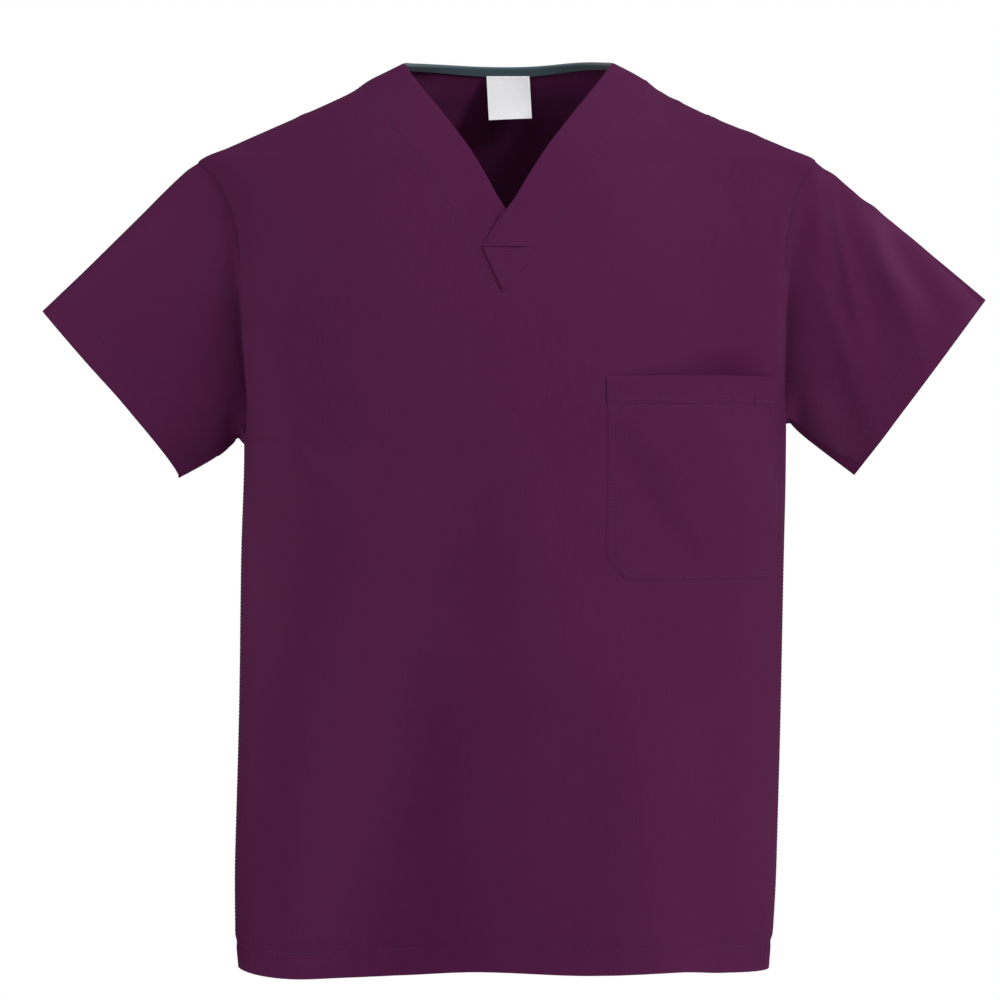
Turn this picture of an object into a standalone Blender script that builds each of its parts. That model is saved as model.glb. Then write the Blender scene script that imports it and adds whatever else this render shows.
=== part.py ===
"""Short-sleeved V-neck scrub top, hollow, filled out as if worn.

Lengths are millimetres until a mesh is made. X points to the wearer's left, Y to the
back and Z up, from the middle of the neck, level with the tops of the shoulder seams.
A body point is an (angle, height) pair: angle 0 is the front's middle, a quarter turn
the wearer's left side, and a half turn the back's middle.
"""

import math
from collections import namedtuple

import bmesh
import bpy
import numpy as np

MM = 0.001
RIGHT, LEFT = -1, 1
SIDE_NAMES = {RIGHT: "right", LEFT: "left"}
QUARTER = math.pi / 2

# Cloth: one layer's thickness, and the clearance between two pieces that are sewn edge
# to edge or laid one on the other.
WALL = 1.2
SEAM = 0.3
LAP_RISE = WALL + 0.5

# Body: heights of the hem, of the shoulder seams' outer ends and of the armpits. The
# armhole's edges stand that far round from the sides, and a small power makes its ends
# blunt.
HEM = -742
HEM_TURNING = 20
SHOULDER_END = -81
ARMPIT = {RIGHT: -314, LEFT: -297}
ARMHOLE_CUT = math.radians(16.5)
ARMHOLE_POWER = 0.22

# Level sections of the body. Front and back are the depths before and behind the
# shoulder seams' plane; down to SHOULDER_END the half width draws the shoulder line.
# Squareness 0 is an ellipse, more is boxy, and less is pointed at the sides.
Section = namedtuple("Section", "height middle half_width front back squareness")
SECTIONS = (
    Section(14, -1.0, 58, 6, 64, 0.03),
    Section(0, -1.0, 86, 19, 71, 0.03),
    Section(-6.5, -1.2, 99.2, 26, 74, 0.02),
    Section(-14, -2.2, 113.2, 33, 77, 0.0),
    Section(-24, -2.9, 127.3, 41, 81, -0.02),
    Section(-31, -3.3, 141.3, 46, 84, -0.03),
    Section(-44.5, -4.1, 170.6, 56, 88, -0.045),
    Section(-57.5, -3.1, 201.2, 64, 92, -0.055),
    Section(-70, -2.3, 230.3, 71, 95, -0.06),
    Section(-81, -2.5, 254.5, 76, 98, -0.065),
    Section(-96, -2.0, 246, 82, 101, -0.04),
    Section(-120, -1.0, 237, 91, 105, -0.01),
    Section(-160, 0.0, 230, 101, 109, 0.015),
    Section(-220, 0.5, 227.5, 111, 112, 0.03),
    Section(-315, 4.2, 223.3, 118.5, 113, 0.03),
    Section(-405, 2.1, 223.7, 121, 112, 0.03),
    Section(-529, 0.0, 223.3, 120, 113, 0.03),
    Section(-652, -3.3, 223.3, 118, 115, 0.03),
    Section(-714, -4.9, 221.7, 117, 117, 0.03),
    Section(-722, -5.3, 220.4, 116.5, 116.5, 0.03),
    Section(-750, -5.3, 218.5, 115.5, 115.5, 0.03),
)

# Front neck: half the V's opening, below 0 where its edges have crossed. The bands are
# sewn into a deeper V in the panel, whose point is the notch.
NeckEdge = namedtuple("NeckEdge", "height half_opening")
NECK_EDGE = (
    NeckEdge(16, 99),
    NeckEdge(0, 86),
    NeckEdge(-12, 77.8),
    NeckEdge(-27, 66.4),
    NeckEdge(-42, 54.6),
    NeckEdge(-57, 43.4),
    NeckEdge(-72, 32.4),
    NeckEdge(-94, 18.8),
    NeckEdge(-118, 5.2),
    NeckEdge(-135, -7.4),
    NeckEdge(-156, -18.5),
)
NECK_MIDDLE = -1.7
NOTCH = -192
NOTCH_LEAN = -4.0
BAND_WIDTH = 37
BAND_SHARES = (0, 0.34, 0.67, 1)
LAP_END = NECK_EDGE[-1].height

# Rows of the neck bands: where each leaves the panel's seam and reaches the V edge, and
# how much of the lap's rise the upper band has there.
BandRow = namedtuple("BandRow", "seam edge rise")
BAND_ROWS = (
    BandRow(NOTCH, LAP_END, 1.0),
    BandRow(LAP_END, -138, 1.0),
    BandRow(-137, -118, 1.0),
    BandRow(-118, -99, 0.5),
    BandRow(-100, -80, 0.0),
    BandRow(-83, -62, 0.0),
    BandRow(-67, -45, 0.0),
    BandRow(-53, -31, 0.0),
    BandRow(-42, -19, 0.0),
    BandRow(-32, -9, 0.0),
)

# Chest pocket on the wearer's left: degrees round from the front's middle, with the cut
# corners' inner ends, and heights. Its mouth gapes by that much in the middle.
POCKET_SIDES = (17.4, 69.0)
POCKET_CORNERS = (21.4, 64.8)
POCKET_TOP = -260
POCKET_BAND = -282
POCKET_CORNER = -405
POCKET_BOTTOM = -424
POCKET_GAPE = 10.0

# Levels of the panels' points up to the notch, and their angles in degrees.
LEVELS = (
    HEM, HEM + HEM_TURNING, -665, -605, -545, -485, POCKET_BOTTOM, POCKET_CORNER, -365,
    -335, ARMPIT[RIGHT], -306, ARMPIT[LEFT], -289, POCKET_BAND, -271, POCKET_TOP, -226,
    NOTCH,
)
FRONT_ANGLES = (
    0, 6, 12, POCKET_SIDES[0], POCKET_CORNERS[0], 29, 37, 45, 53, 59.5,
    POCKET_CORNERS[1], POCKET_SIDES[1], 76, 83, 90,
)
BACK_ANGLES = (0, 8, 16, 24, 32, 40, 50, 60, 70, 80, 90)

# Back above the notch: how far up its rows are, and the strip along the neck's edge,
# whose width narrows from the middle to the ends. The edge stands that far above the
# shoulder seams' tops at the middle, and more by a swell between the middle and each end.
BACK_RISES = (0.16, 0.33, 0.5, 0.66, 0.79, 0.89, 0.95, 1.0)
NECK_COLUMNS = 6
NECK_STRIP_MIDDLE = 5.5
NECK_STRIP_END = 3.4
NECK_RISE = 1.0
NECK_SWELL = {RIGHT: 1.5, LEFT: 3.0}

# Soft folds, as ridges (out above 0) and troughs that run down from one point to
# another while their half width and rise change.
Fold = namedtuple(
    "Fold", "back x_top z_top x_end z_end width_top width_end out_top out_end"
)
FOLDS = (
    Fold(False, -104, -270, -190, HEM, 26, 34, -4.0, -7.0),
    Fold(False, -62, -300, -122, HEM, 26, 40, 2.0, 5.0),
    Fold(False, -16, -262, -38, HEM, 26, 62, -4.0, -9.0),
    Fold(False, 78, -400, 84, HEM, 34, 42, 3.0, 6.5),
    Fold(False, 118, -120, 146, -262, 40, 40, 2.0, -3.5),
    Fold(False, 150, -440, 150, HEM, 26, 32, -2.0, -4.0),
    Fold(True, 0, -190, 10, HEM, 34, 58, -4.0, -8.0),
    Fold(True, -92, -230, -104, HEM, 34, 48, 3.0, 7.0),
    Fold(True, 96, -250, 112, HEM, 34, 44, 3.0, 6.0),
)
FOLD_START = 0.25
FOLD_FADE = 0.35

# The hem's lower edge: its height at each angle, in degrees.
HemPoint = namedtuple("HemPoint", "angle height")
HEM_LINE = (
    HemPoint(-180, -743),
    HemPoint(-150, -746),
    HemPoint(-120, -741.5),
    HemPoint(-90, -743),
    HemPoint(-57, -747),
    HemPoint(-46, -748),
    HemPoint(-33, -746.5),
    HemPoint(-19, -743),
    HemPoint(-4, -739.5),
    HemPoint(15, -741.5),
    HemPoint(36, -740.5),
    HemPoint(50, -743),
    HemPoint(80, -744.5),
    HemPoint(90, -744),
    HemPoint(120, -746),
    HemPoint(150, -741),
    HemPoint(180, -743),
)

# Sleeves: the folded cuff's ends, half its depth, how far back it stands, and how far
# its lower part dips in.
Cuff = namedtuple("Cuff", "top_x top_z low_x low_z half_depth back dip")
CUFFS = {
    RIGHT: Cuff(-385, -205, -273, -342, 17, 4, 6.0),
    LEFT: Cuff(392, -195.5, 284, -339.5, 17, 4, 0.0),
}
SLEEVE_STATIONS = (0.0, 0.12, 0.3, 0.5, 0.7, 0.87, 1.0)

# Folds of a sleeve: place round it at the armhole and at the cuff, from the shoulder
# (0) by the front to the armpit (0.5) and by the back; half width likewise, and rise.
# They swell from nothing at the armhole, and are highest about two thirds of the way.
SLEEVE_FOLD_SWELL = 2.4
SleeveFold = namedtuple("SleeveFold", "side around_top around_end width out")
SLEEVE_FOLDS = (
    SleeveFold(LEFT, 0.0, 0.0, 0.05, 2.0),
    SleeveFold(LEFT, 0.06, 0.20, 0.035, 3.5),
    SleeveFold(LEFT, 0.12, 0.30, 0.04, -3.0),
    SleeveFold(LEFT, 0.18, 0.40, 0.045, 2.5),
    SleeveFold(LEFT, 0.92, 0.80, 0.045, 3.0),
    SleeveFold(RIGHT, 0.10, 0.26, 0.045, -2.5),
    SleeveFold(RIGHT, 0.90, 0.76, 0.045, 3.0),
)

# Neck trim: the tape round the back neck's edge, and the label that hangs below it.
TAPE_WALL = 1.0
TAPE_GAP = 0.4
Label = namedtuple("Label", "right left top bottom depth lean curl")
LABEL = Label(-19.5, 16.5, -5.4, -43, 69.6, 1.5, 3.0)
LABEL_COLUMNS = 4
LABEL_ROWS = 4

PLUM = (0.083, 0.013, 0.052)
TEAL = (0.022, 0.062, 0.077)
WHITE = (0.86, 0.87, 0.87)


def clamp(value, low, high):
    return min(max(value, low), high)


def smooth_step(t):
    t = clamp(t, 0.0, 1.0)
    return t * t * (3 - 2 * t)


def smooth_value(table, column, place):
    """A column of the table at a place in its first column, on a smooth curve.

    The curve never leaves the range between two rows: its slope at each row is the
    harmonic mean of the slopes beside it, or level where they differ in sign.
    """
    rows = sorted(table)
    starts = [row[0] for row in rows]
    values = [row[column] for row in rows]
    last = len(rows) - 1
    i = int(clamp(np.searchsorted(starts, place) - 1, 0, last - 1))

    def secant(k):
        k = clamp(k, 0, last - 1)
        return (values[k + 1] - values[k]) / (starts[k + 1] - starts[k])

    def slope(k):
        before, after = secant(k - 1), secant(k)
        return 2 * before * after / (before + after) if before * after > 0 else 0.0

    span = starts[i + 1] - starts[i]
    t = (place - starts[i]) / span
    rise = slope(i) * t * (1 - t) ** 2 - slope(i + 1) * t * t * (1 - t)
    return values[i] + (values[i + 1] - values[i]) * t * t * (3 - 2 * t) + span * rise


def section(height):
    values = [smooth_value(SECTIONS, k, height) for k in range(1, len(Section._fields))]
    return Section(height, *values)


def share_out(angle, squareness):
    """How far towards the side a point at that angle lies, from 0 to 1."""
    return (math.sin(angle) + squareness * math.sin(3 * angle)) / (1 - squareness)


def form(angle, height):
    """The body's point at that angle and height, before folds."""
    s = section(height)
    x = s.middle + s.half_width * share_out(angle, s.squareness)
    deep = (math.cos(angle) - s.squareness * math.cos(3 * angle)) / (1 - s.squareness)
    return np.array([x, -deep * (s.front if deep > 0 else s.back), height])


def form_normal(angle, height):
    across = form(angle + 0.01, height) - form(angle - 0.01, height)
    up = form(angle, height + 0.5) - form(angle, height - 0.5)
    normal = np.cross(across, up)
    return normal / np.linalg.norm(normal)


def angle_at(x, height, back=False):
    """The angle of the body's point at that place across, on its front or its back."""
    s = section(height)
    share = clamp((x - s.middle) / s.half_width, -1.0, 1.0)
    low, high = -QUARTER, QUARTER
    for _ in range(40):
        angle = (low + high) / 2
        if share_out(angle, s.squareness) < share:
            low = angle
        else:
            high = angle
    return math.copysign(math.pi, share) - angle if back else angle


def fold_out(angle, height):
    """How far the folds lift the cloth there. They fade towards the sides."""
    x = form(angle, height)[0]
    out = 0.0
    for fold in FOLDS:
        if fold.back != (math.cos(angle) < 0) or height > fold.z_top:
            continue
        t = (height - fold.z_top) / (fold.z_end - fold.z_top)
        width = fold.width_top + t * (fold.width_end - fold.width_top)
        rise = fold.out_top + t * (fold.out_end - fold.out_top)
        off = (x - fold.x_top - t * (fold.x_end - fold.x_top)) / width
        out += rise * smooth_step(t / FOLD_START) * math.exp(-off * off)
    return out * smooth_step(abs(math.cos(angle)) / FOLD_FADE)


def on_body(params, out=0.0):
    """The cloth's outer points at those angles and heights, moved out, and normals."""
    normals = np.array([form_normal(*p) for p in params])
    lift = np.array([fold_out(*p) for p in params]) + out
    return np.array([form(*p) for p in params]) + normals * lift[:, None], normals


def armhole_angle(side, height):
    """How far round the panels' outer edge is: at the side, less the armhole's cut."""
    share = (height - ARMPIT[side]) / (SHOULDER_END - ARMPIT[side])
    cut = ARMHOLE_CUT * abs(math.sin(math.pi * clamp(share, 0.0, 1.0))) ** ARMHOLE_POWER
    return QUARTER - cut


def neck_middle(height):
    return NECK_MIDDLE + NOTCH_LEAN * (height / NOTCH) ** 3


def neck_edge(side, height):
    return neck_middle(height) + side * smooth_value(NECK_EDGE, 1, height)


def seam_half(height):
    """Half the distance between the bands' seams: the V's edge, moved out, to the notch."""
    heights = np.linspace(LAP_END, NECK_EDGE[0].height, 60)
    halves = np.array([smooth_value(NECK_EDGE, 1, h) for h in heights])
    along = np.array([np.gradient(halves), np.gradient(heights)])
    along /= np.linalg.norm(along, axis=0)
    x = np.append(0.0, halves + BAND_WIDTH * along[1])
    z = np.append(NOTCH, heights - BAND_WIDTH * along[0])
    return float(np.interp(height, z, x))


def neck_seam(side, height):
    return neck_middle(height) + side * seam_half(height)


def seam_top():
    """The height at which the bands' seams reach the shoulder seams."""
    low, high = -60.0, 0.0
    for _ in range(30):
        height = (low + high) / 2
        if section(height).half_width > seam_half(height):
            low = height
        else:
            high = height
    return height


def hem_height(angle):
    return smooth_value(HEM_LINE, 1, math.degrees(angle))


def level_row(side, height, angles, back):
    """Half a level of points, from the middle to the side seam or the armhole."""
    edge = armhole_angle(side, height)
    fixed = 0.0 if back else math.radians(POCKET_SIDES[1])
    squeeze = (edge - fixed) / (QUARTER - fixed)
    row = []
    for angle in map(math.radians, angles):
        angle = min(angle, fixed) + max(angle - fixed, 0.0) * squeeze
        angle = side * (math.pi - angle if back else angle)
        row.append((angle, hem_height(angle) if height == HEM else height))
    return row


def across(start, end, shares, back=False):
    """Body points on a line that is straight from the front, from start to end (x, z)."""
    row = []
    for share in shares:
        x = start[0] + share * (end[0] - start[0])
        height = start[1] + share * (end[1] - start[1])
        row.append((angle_at(x, height, back), height))
    return row


def shares_of(row, rise):
    """How far across from first to last each point of a row above that level is.

    The shares are the level's own at rise 0, and even at rise 1, the shoulder seam.
    """
    x = np.array([form(*point)[0] for point in row])
    return (1 - rise) * (x - x[0]) / (x[-1] - x[0]) + rise * np.linspace(0, 1, len(row))


def armhole_point(side, height):
    return form(side * armhole_angle(side, height), height)[[0, 2]]


def front_half(side):
    """Rows of one half of the front, from the hem up to the shoulder seam."""
    rows = [level_row(side, level, FRONT_ANGLES, False) for level in LEVELS]
    middle = angle_at(neck_middle(NOTCH), NOTCH)
    rows = [[(middle, row[0][1])] + row[1:] for row in rows]
    level = rows[-1]
    top = seam_top()
    for height in [row.seam for row in BAND_ROWS[1:]] + [top]:
        rise = (height - NOTCH) / (top - NOTCH)
        end = armhole_point(side, NOTCH + rise * (SHOULDER_END - NOTCH))
        rows.append(across((neck_seam(side, height), height), end, shares_of(level, rise)))
    rows[-1] = [(side * QUARTER, height) for _, height in rows[-1]]
    return rows


def neck_strip(side):
    """Two rows along half of the back neck: the strip's lower line and the neck's edge."""
    low, top = [], []
    for turn in (k / NECK_COLUMNS for k in range(NECK_COLUMNS + 1)):
        angle = side * (math.pi - turn * QUARTER)
        swell = NECK_SWELL[side] * math.sin(math.pi * turn) ** 2
        edge = NECK_RISE * math.cos(turn * QUARTER) ** 2 + swell
        width = NECK_STRIP_MIDDLE + (NECK_STRIP_END - NECK_STRIP_MIDDLE) * turn * turn
        low.append((angle, edge - width))
        top.append((angle, edge))
    return [low, top]


def back_half(side):
    """Rows of one half of the back, from the hem up to the neck strip and the shoulder."""
    rows = [level_row(side, level, BACK_ANGLES, True) for level in LEVELS]
    below = rows[-1]
    strip = neck_strip(side)[0]
    for rise in BACK_RISES:
        row = []
        for low, top in zip(below, strip):
            x, height = form(*low)[[0, 2]] * (1 - rise) + form(*top)[[0, 2]] * rise
            row.append((angle_at(x, height, True), height))
        x, height = form(*row[-1])[[0, 2]]
        end = armhole_point(side, NOTCH + rise * (SHOULDER_END - NOTCH))
        shares = shares_of(below[NECK_COLUMNS:], rise)
        rows.append(row[:-1] + across((x, height), end, shares, True))
    shoulder = [(side * QUARTER, height) for _, height in rows[-1][NECK_COLUMNS:]]
    rows[-1] = strip[:-1] + shoulder
    return rows


def grid_faces(row_count, column_count, closed=False):
    faces = []
    for r in range(row_count - 1):
        for c in range(column_count if closed else column_count - 1):
            a, b = r * column_count + c, r * column_count + (c + 1) % column_count
            faces.append([a, b, b + column_count, a + column_count])
    return faces


def welded(grids):
    """The points of several grids of rows, each once, and the faces that join them."""
    params, faces, seen = [], [], {}
    for rows in grids:
        numbers = []
        for point in (point for row in rows for point in row):
            key = tuple(np.round(form(*point), 2) + 0.0)
            if key not in seen:
                seen[key] = len(params)
                params.append(point)
            numbers.append(seen[key])
        for face in grid_faces(len(rows), len(rows[0])):
            faces.append([numbers[k] for k in face])
    return params, faces


def facing_out(faces, points, normals):
    """The faces, each wound so that it faces along its points' normals."""
    wound = []
    for face in faces:
        a, b, c = points[face[0]], points[face[1]], points[face[2]]
        out = np.cross(b - a, c - a) @ normals[face].sum(axis=0) > 0
        wound.append(face if out else [face[0]] + face[:0:-1])
    return wound


def open_edges(faces):
    pairs = {(a, b) for face in faces for a, b in zip(face, face[1:] + face[:1])}
    return sorted(pair for pair in pairs if pair[::-1] not in pairs)


def drawn_in(points, normals, faces, by):
    """The points, with those on the piece's edge moved in along the cloth by that much."""
    inward = {}
    for a, b in open_edges(faces):
        along = points[b] - points[a]
        side = np.cross(normals[a] + normals[b], along)
        side /= np.linalg.norm(side)
        inward.setdefault(a, []).append(side)
        inward.setdefault(b, []).append(side)
    moved = points.copy()
    for k, (one, other) in inward.items():
        moved[k] += by * (one + other) / (1 + one @ other)
    return moved


def add_material(name, colour, roughness):
    material = bpy.data.materials.new(name)
    material.use_nodes = True
    shader = material.node_tree.nodes["Principled BSDF"]
    shader.inputs["Base Color"].default_value = (*colour, 1.0)
    shader.inputs["Roughness"].default_value = roughness
    shader.inputs["Metallic"].default_value = 0.0
    material.diffuse_color = (*colour, 1.0)
    return material


def add_solid(name, outer, inner, faces, colour, roughness=0.85):
    """A closed wall between two sets of points that the same faces join."""
    count = len(outer)
    bm = bmesh.new()
    verts = [bm.verts.new(point * MM) for point in (*outer, *inner)]
    for face in faces:
        for k in range(1, len(face) - 1):
            corners = [face[0], face[k], face[k + 1]]
            bm.faces.new([verts[v] for v in corners])
            bm.faces.new([verts[v + count] for v in reversed(corners)])
    for a, b in open_edges(faces):
        bm.faces.new([verts[b], verts[a], verts[a + count]])
        bm.faces.new([verts[b], verts[a + count], verts[b + count]])
    bmesh.ops.recalc_face_normals(bm, faces=bm.faces)
    mesh = bpy.data.meshes.new(name)
    bm.to_mesh(mesh)
    bm.free()
    mesh.shade_smooth()
    mesh.set_sharp_from_angle(angle=math.radians(40))
    mesh.materials.append(add_material(name, colour, roughness))
    bpy.context.scene.collection.objects.link(bpy.data.objects.new(name, mesh))


def add_cloth(name, points, normals, faces, thickness=WALL, colour=PLUM):
    """A piece of cloth: its outer points, drawn in at the seams, and a wall inside them."""
    faces = facing_out(faces, points, normals)
    outer = drawn_in(points, normals, faces, SEAM / 2)
    thick = np.broadcast_to(thickness, len(points))[:, None]
    add_solid(name, outer, outer - normals * thick, faces, colour)


def add_panels():
    params, faces = welded([front_half(RIGHT), front_half(LEFT)])
    add_cloth("front_panel", *on_body(params), faces)
    halves = [back_half(side) for side in (RIGHT, LEFT)]
    strips = [neck_strip(side) for side in (RIGHT, LEFT)]
    params, faces = welded(halves + strips)
    add_cloth("back_panel", *on_body(params), faces)


def add_hems():
    """The turned-up edges, inside the panels."""
    for name, half in (("front_hem", front_half), ("back_hem", back_half)):
        params, faces = welded([half(RIGHT)[:2], half(LEFT)[:2]])
        add_cloth(name, *on_body(params, -WALL - SEAM), faces)


def add_neck_bands():
    """Two bands along the V; the wearer's left one laps over the other at its point."""
    top = BandRow(seam_top(), 0.0, 0.0)
    lapped = (BandRow(LAP_END, LAP_END, 1.0), *BAND_ROWS[2:], top)
    for side, band_rows in ((RIGHT, (*BAND_ROWS, top)), (LEFT, lapped)):
        params, rises = [], []
        for row in band_rows:
            start = (neck_seam(side, row.seam), row.seam)
            end = (neck_edge(side, row.edge), row.edge)
            if row is band_rows[0] and side == RIGHT:
                end = (neck_seam(LEFT, row.edge) - SEAM, row.edge)
            params += across(start, end, BAND_SHARES)
            rises += [row.rise * LAP_RISE if side == LEFT else 0.0] * len(BAND_SHARES)
        params[-len(BAND_SHARES):] = [
            (side * QUARTER, height) for _, height in params[-len(BAND_SHARES):]
        ]
        points, normals = on_body(params, np.array(rises))
        faces = grid_faces(len(band_rows), len(BAND_SHARES))
        add_cloth(f"{SIDE_NAMES[side]}_neck_band", points, normals, faces)


def add_neck_tab():
    """The triangle that closes the lap, from the upper band's end to the notch."""
    left = (neck_seam(LEFT, LAP_END), LAP_END)
    right = (neck_edge(LEFT, LAP_END), LAP_END)
    tip = (neck_middle(NOTCH), NOTCH)
    half_left, half_right = (
        ((corner[0] + tip[0]) / 2, (corner[1] + tip[1]) / 2) for corner in (left, right)
    )
    params = across(right, left, (0, 0.33, 0.67, 1))
    params += across(half_right, half_left, (0, 0.5, 1))
    params.append((angle_at(*tip), tip[1]))
    faces = [[0, 1, 5, 4], [1, 2, 5], [2, 3, 6, 5], [4, 5, 7], [5, 6, 7]]
    add_cloth("neck_tab", *on_body(params, LAP_RISE + SEAM), faces)


def add_back_neck_tape():
    """A tape folded over the back neck's edge, made from the panel's strip there."""
    low, top = [], []
    for side in (RIGHT, LEFT):
        strip_low, strip_top = neck_strip(side)
        order = slice(None, None, -1) if side == RIGHT else slice(1, None)
        low += strip_low[order]
        top += strip_top[order]
    (low, low_out), (top, top_out) = on_body(low), on_body(top)
    up = top - low
    up /= np.linalg.norm(up, axis=1)[:, None]
    near, far = TAPE_GAP, TAPE_GAP + TAPE_WALL
    outer = [low + low_out * far, top + top_out * far + up * (TAPE_WALL + SEAM / 2)]
    inner = [low + low_out * near, top + top_out * near + up * SEAM / 2]
    outer.append(top - top_out * (WALL + far) + up * (TAPE_WALL + SEAM / 2))
    inner.append(top - top_out * (WALL + near) + up * SEAM / 2)
    outer.append(low - low_out * (WALL + far))
    inner.append(low - low_out * (WALL + near))
    outer, inner = np.concatenate(outer), np.concatenate(inner)
    faces = facing_out(grid_faces(4, len(low)), outer, outer - inner)
    ends = drawn_in(outer, outer - inner, faces, SEAM / 2) - outer
    add_solid("back_neck_tape", outer + ends, inner + ends, faces, TEAL, 0.7)


def add_neck_label():
    """A plain label that hangs inside the back neck, curling forward at its end."""
    points = []
    for r in range(LABEL_ROWS + 1):
        down = r / LABEL_ROWS
        depth = LABEL.depth - LABEL.lean * down - LABEL.curl * down**3
        height = LABEL.top + down * (LABEL.bottom - LABEL.top)
        for c in range(LABEL_COLUMNS + 1):
            share = c / LABEL_COLUMNS
            x = LABEL.right + share * (LABEL.left - LABEL.right) + LABEL.lean * down
            bow = LABEL.lean * down * (2 * share - 1) ** 2
            points.append((x, depth + bow, height))
    points = np.array(points)
    normals = np.tile((0.0, -1.0, 0.0), (len(points), 1))
    faces = facing_out(grid_faces(LABEL_ROWS + 1, LABEL_COLUMNS + 1), points, normals)
    add_solid("neck_label", points, points - normals, faces, WHITE, 0.6)


def pocket_points(rows, columns, thickness):
    """The front panel's points under part of the pocket, moved out to its outer face."""
    middle = sum(POCKET_SIDES) / 2
    half = (POCKET_SIDES[1] - POCKET_SIDES[0]) / 2
    first, last = FRONT_ANGLES.index(columns[0]), FRONT_ANGLES.index(columns[1])
    panel = front_half(LEFT)
    params, gaps = [], []
    for level in rows:
        row = panel[LEVELS.index(level)]
        up = clamp((level - POCKET_BOTTOM) / (POCKET_TOP - POCKET_BOTTOM), 0.0, 1.0)
        for c in range(first, last + 1):
            share = 1 - ((FRONT_ANGLES[c] - middle) / half) ** 2
            params.append(row[c])
            gaps.append(SEAM + POCKET_GAPE * up**1.5 * clamp(share, 0.0, 1.0) ** 1.5)
    points, normals = on_body(params, np.array(gaps) + thickness)
    return points, normals, last + 1 - first


def add_pocket():
    """The pocket with cut lower corners, and the doubled band along its mouth."""
    levels = [level for level in LEVELS if POCKET_BOTTOM <= level <= POCKET_BAND]
    points, normals, columns = pocket_points(levels, POCKET_SIDES, WALL)
    faces = grid_faces(len(levels), columns)
    faces[0] = faces[0][1:]
    faces[columns - 2] = [faces[columns - 2][k] for k in (0, 2, 3)]
    used = sorted({k for face in faces for k in face})
    faces = [[used.index(k) for k in face] for face in faces]
    add_cloth("chest_pocket", points[used], normals[used], faces)

    levels = [level for level in LEVELS if POCKET_BAND <= level <= POCKET_TOP]
    points, normals, columns = pocket_points(levels, POCKET_SIDES, 2 * WALL)
    faces = grid_faces(len(levels), columns)
    add_cloth("pocket_band", points, normals, faces, 2 * WALL)


def armhole(side):
    """The armhole's loop on the panels, from the shoulder by the front and the armpit."""
    front = [row[-1] for row in front_half(side) if row[-1][1] >= ARMPIT[side]]
    back = [row[-1] for row in back_half(side) if row[-1][1] >= ARMPIT[side]]
    return on_body(front[::-1] + back[1:-1])


def around(loop):
    """How far round a loop each point is: 0.5 is its lowest point, the armpit."""
    steps = np.linalg.norm(np.roll(loop, -1, axis=0) - loop, axis=1)
    run = np.concatenate([[0.0], np.cumsum(steps)])
    low = int(loop[:, 2].argmin())
    return np.interp(run[:-1], [0.0, run[low], run[-1]], [0.0, 0.5, 1.0])


def cuff_loop(side, shares):
    """Points round the cuff, a flat ellipse between its two ends, at those shares."""
    cuff = CUFFS[side]
    ends = np.array([[cuff.top_x, cuff.top_z], [cuff.low_x, cuff.low_z]])
    middle, reach = ends.mean(axis=0), (ends[0] - ends[1]) / 2
    inward = np.array([-side * reach[1], side * reach[0]]) / np.linalg.norm(reach)
    turns = np.linspace(0, 2 * math.pi, 241)
    oval = np.array([np.linalg.norm(reach) * np.cos(turns), cuff.half_depth * np.sin(turns)])
    run = np.append(0.0, np.cumsum(np.linalg.norm(np.diff(oval), axis=0)))
    points = []
    for turn in np.interp(np.array(shares) * run[-1], run, turns):
        dip = cuff.dip * math.sin(turn / 2) ** 2 * abs(math.sin(turn))
        x, z = middle + reach * math.cos(turn) + inward * dip
        points.append((x, cuff.back - cuff.half_depth * math.sin(turn), z))
    return np.array(points)


def ring_normals(rings):
    """Outward normals of a tube of rings."""
    round_it = np.roll(rings, -1, axis=1) - np.roll(rings, 1, axis=1)
    normals = np.cross(round_it, np.gradient(rings, axis=0))
    normals /= np.linalg.norm(normals, axis=2)[:, :, None]
    outward = rings - rings.mean(axis=1)[:, None, :]
    return normals * np.sign((normals * outward).sum())


def sleeve_lift(side, shares, station):
    """How far a sleeve's folds lift the cloth at each point round one ring."""
    lift = np.zeros(len(shares))
    for fold in SLEEVE_FOLDS:
        if fold.side == side:
            place = fold.around_top + station * (fold.around_end - fold.around_top)
            off = ((shares - place + 0.5) % 1 - 0.5) / fold.width
            lift += fold.out * math.sin(SLEEVE_FOLD_SWELL * station) * np.exp(-off * off)
    return lift


def sleeve_rings(side):
    """Rings of points from just outside the armhole to the cuff, with their normals."""
    loop, body_normals = armhole(side)
    shares = around(loop)
    cuff = cuff_loop(side, shares)
    along = cuff - loop
    along /= np.linalg.norm(along, axis=1)[:, None]
    facing = np.maximum(-(along * body_normals).sum(axis=1), 0.0)
    start = loop + along * (SEAM / 2 + WALL * facing)[:, None]
    rings = np.array([start + (cuff - start) * s for s in SLEEVE_STATIONS])
    normals = ring_normals(rings)
    lifts = np.array([sleeve_lift(side, shares, s) for s in SLEEVE_STATIONS])
    rings += normals * lifts[:, :, None]
    return rings, ring_normals(rings)


def add_sleeves():
    """The sleeves, and their turned hems inside the cuffs."""
    for side, name in SIDE_NAMES.items():
        rings, normals = sleeve_rings(side)
        faces = grid_faces(len(rings), rings.shape[1], closed=True)
        points, out = rings.reshape(-1, 3), normals.reshape(-1, 3)
        add_cloth(f"{name}_sleeve", points, out, faces)
        rings, normals = rings[-2:], normals[-2:]
        points, out = (rings - normals * (WALL + SEAM)).reshape(-1, 3), normals.reshape(-1, 3)
        add_cloth(f"{name}_sleeve_hem", points, out, faces[:rings.shape[1]])


def main():
    for thing in list(bpy.data.objects):
        bpy.data.objects.remove(thing)
    add_panels()
    add_hems()
    add_neck_bands()
    add_neck_tab()
    add_back_neck_tape()
    add_neck_label()
    add_pocket()
    add_sleeves()


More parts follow.
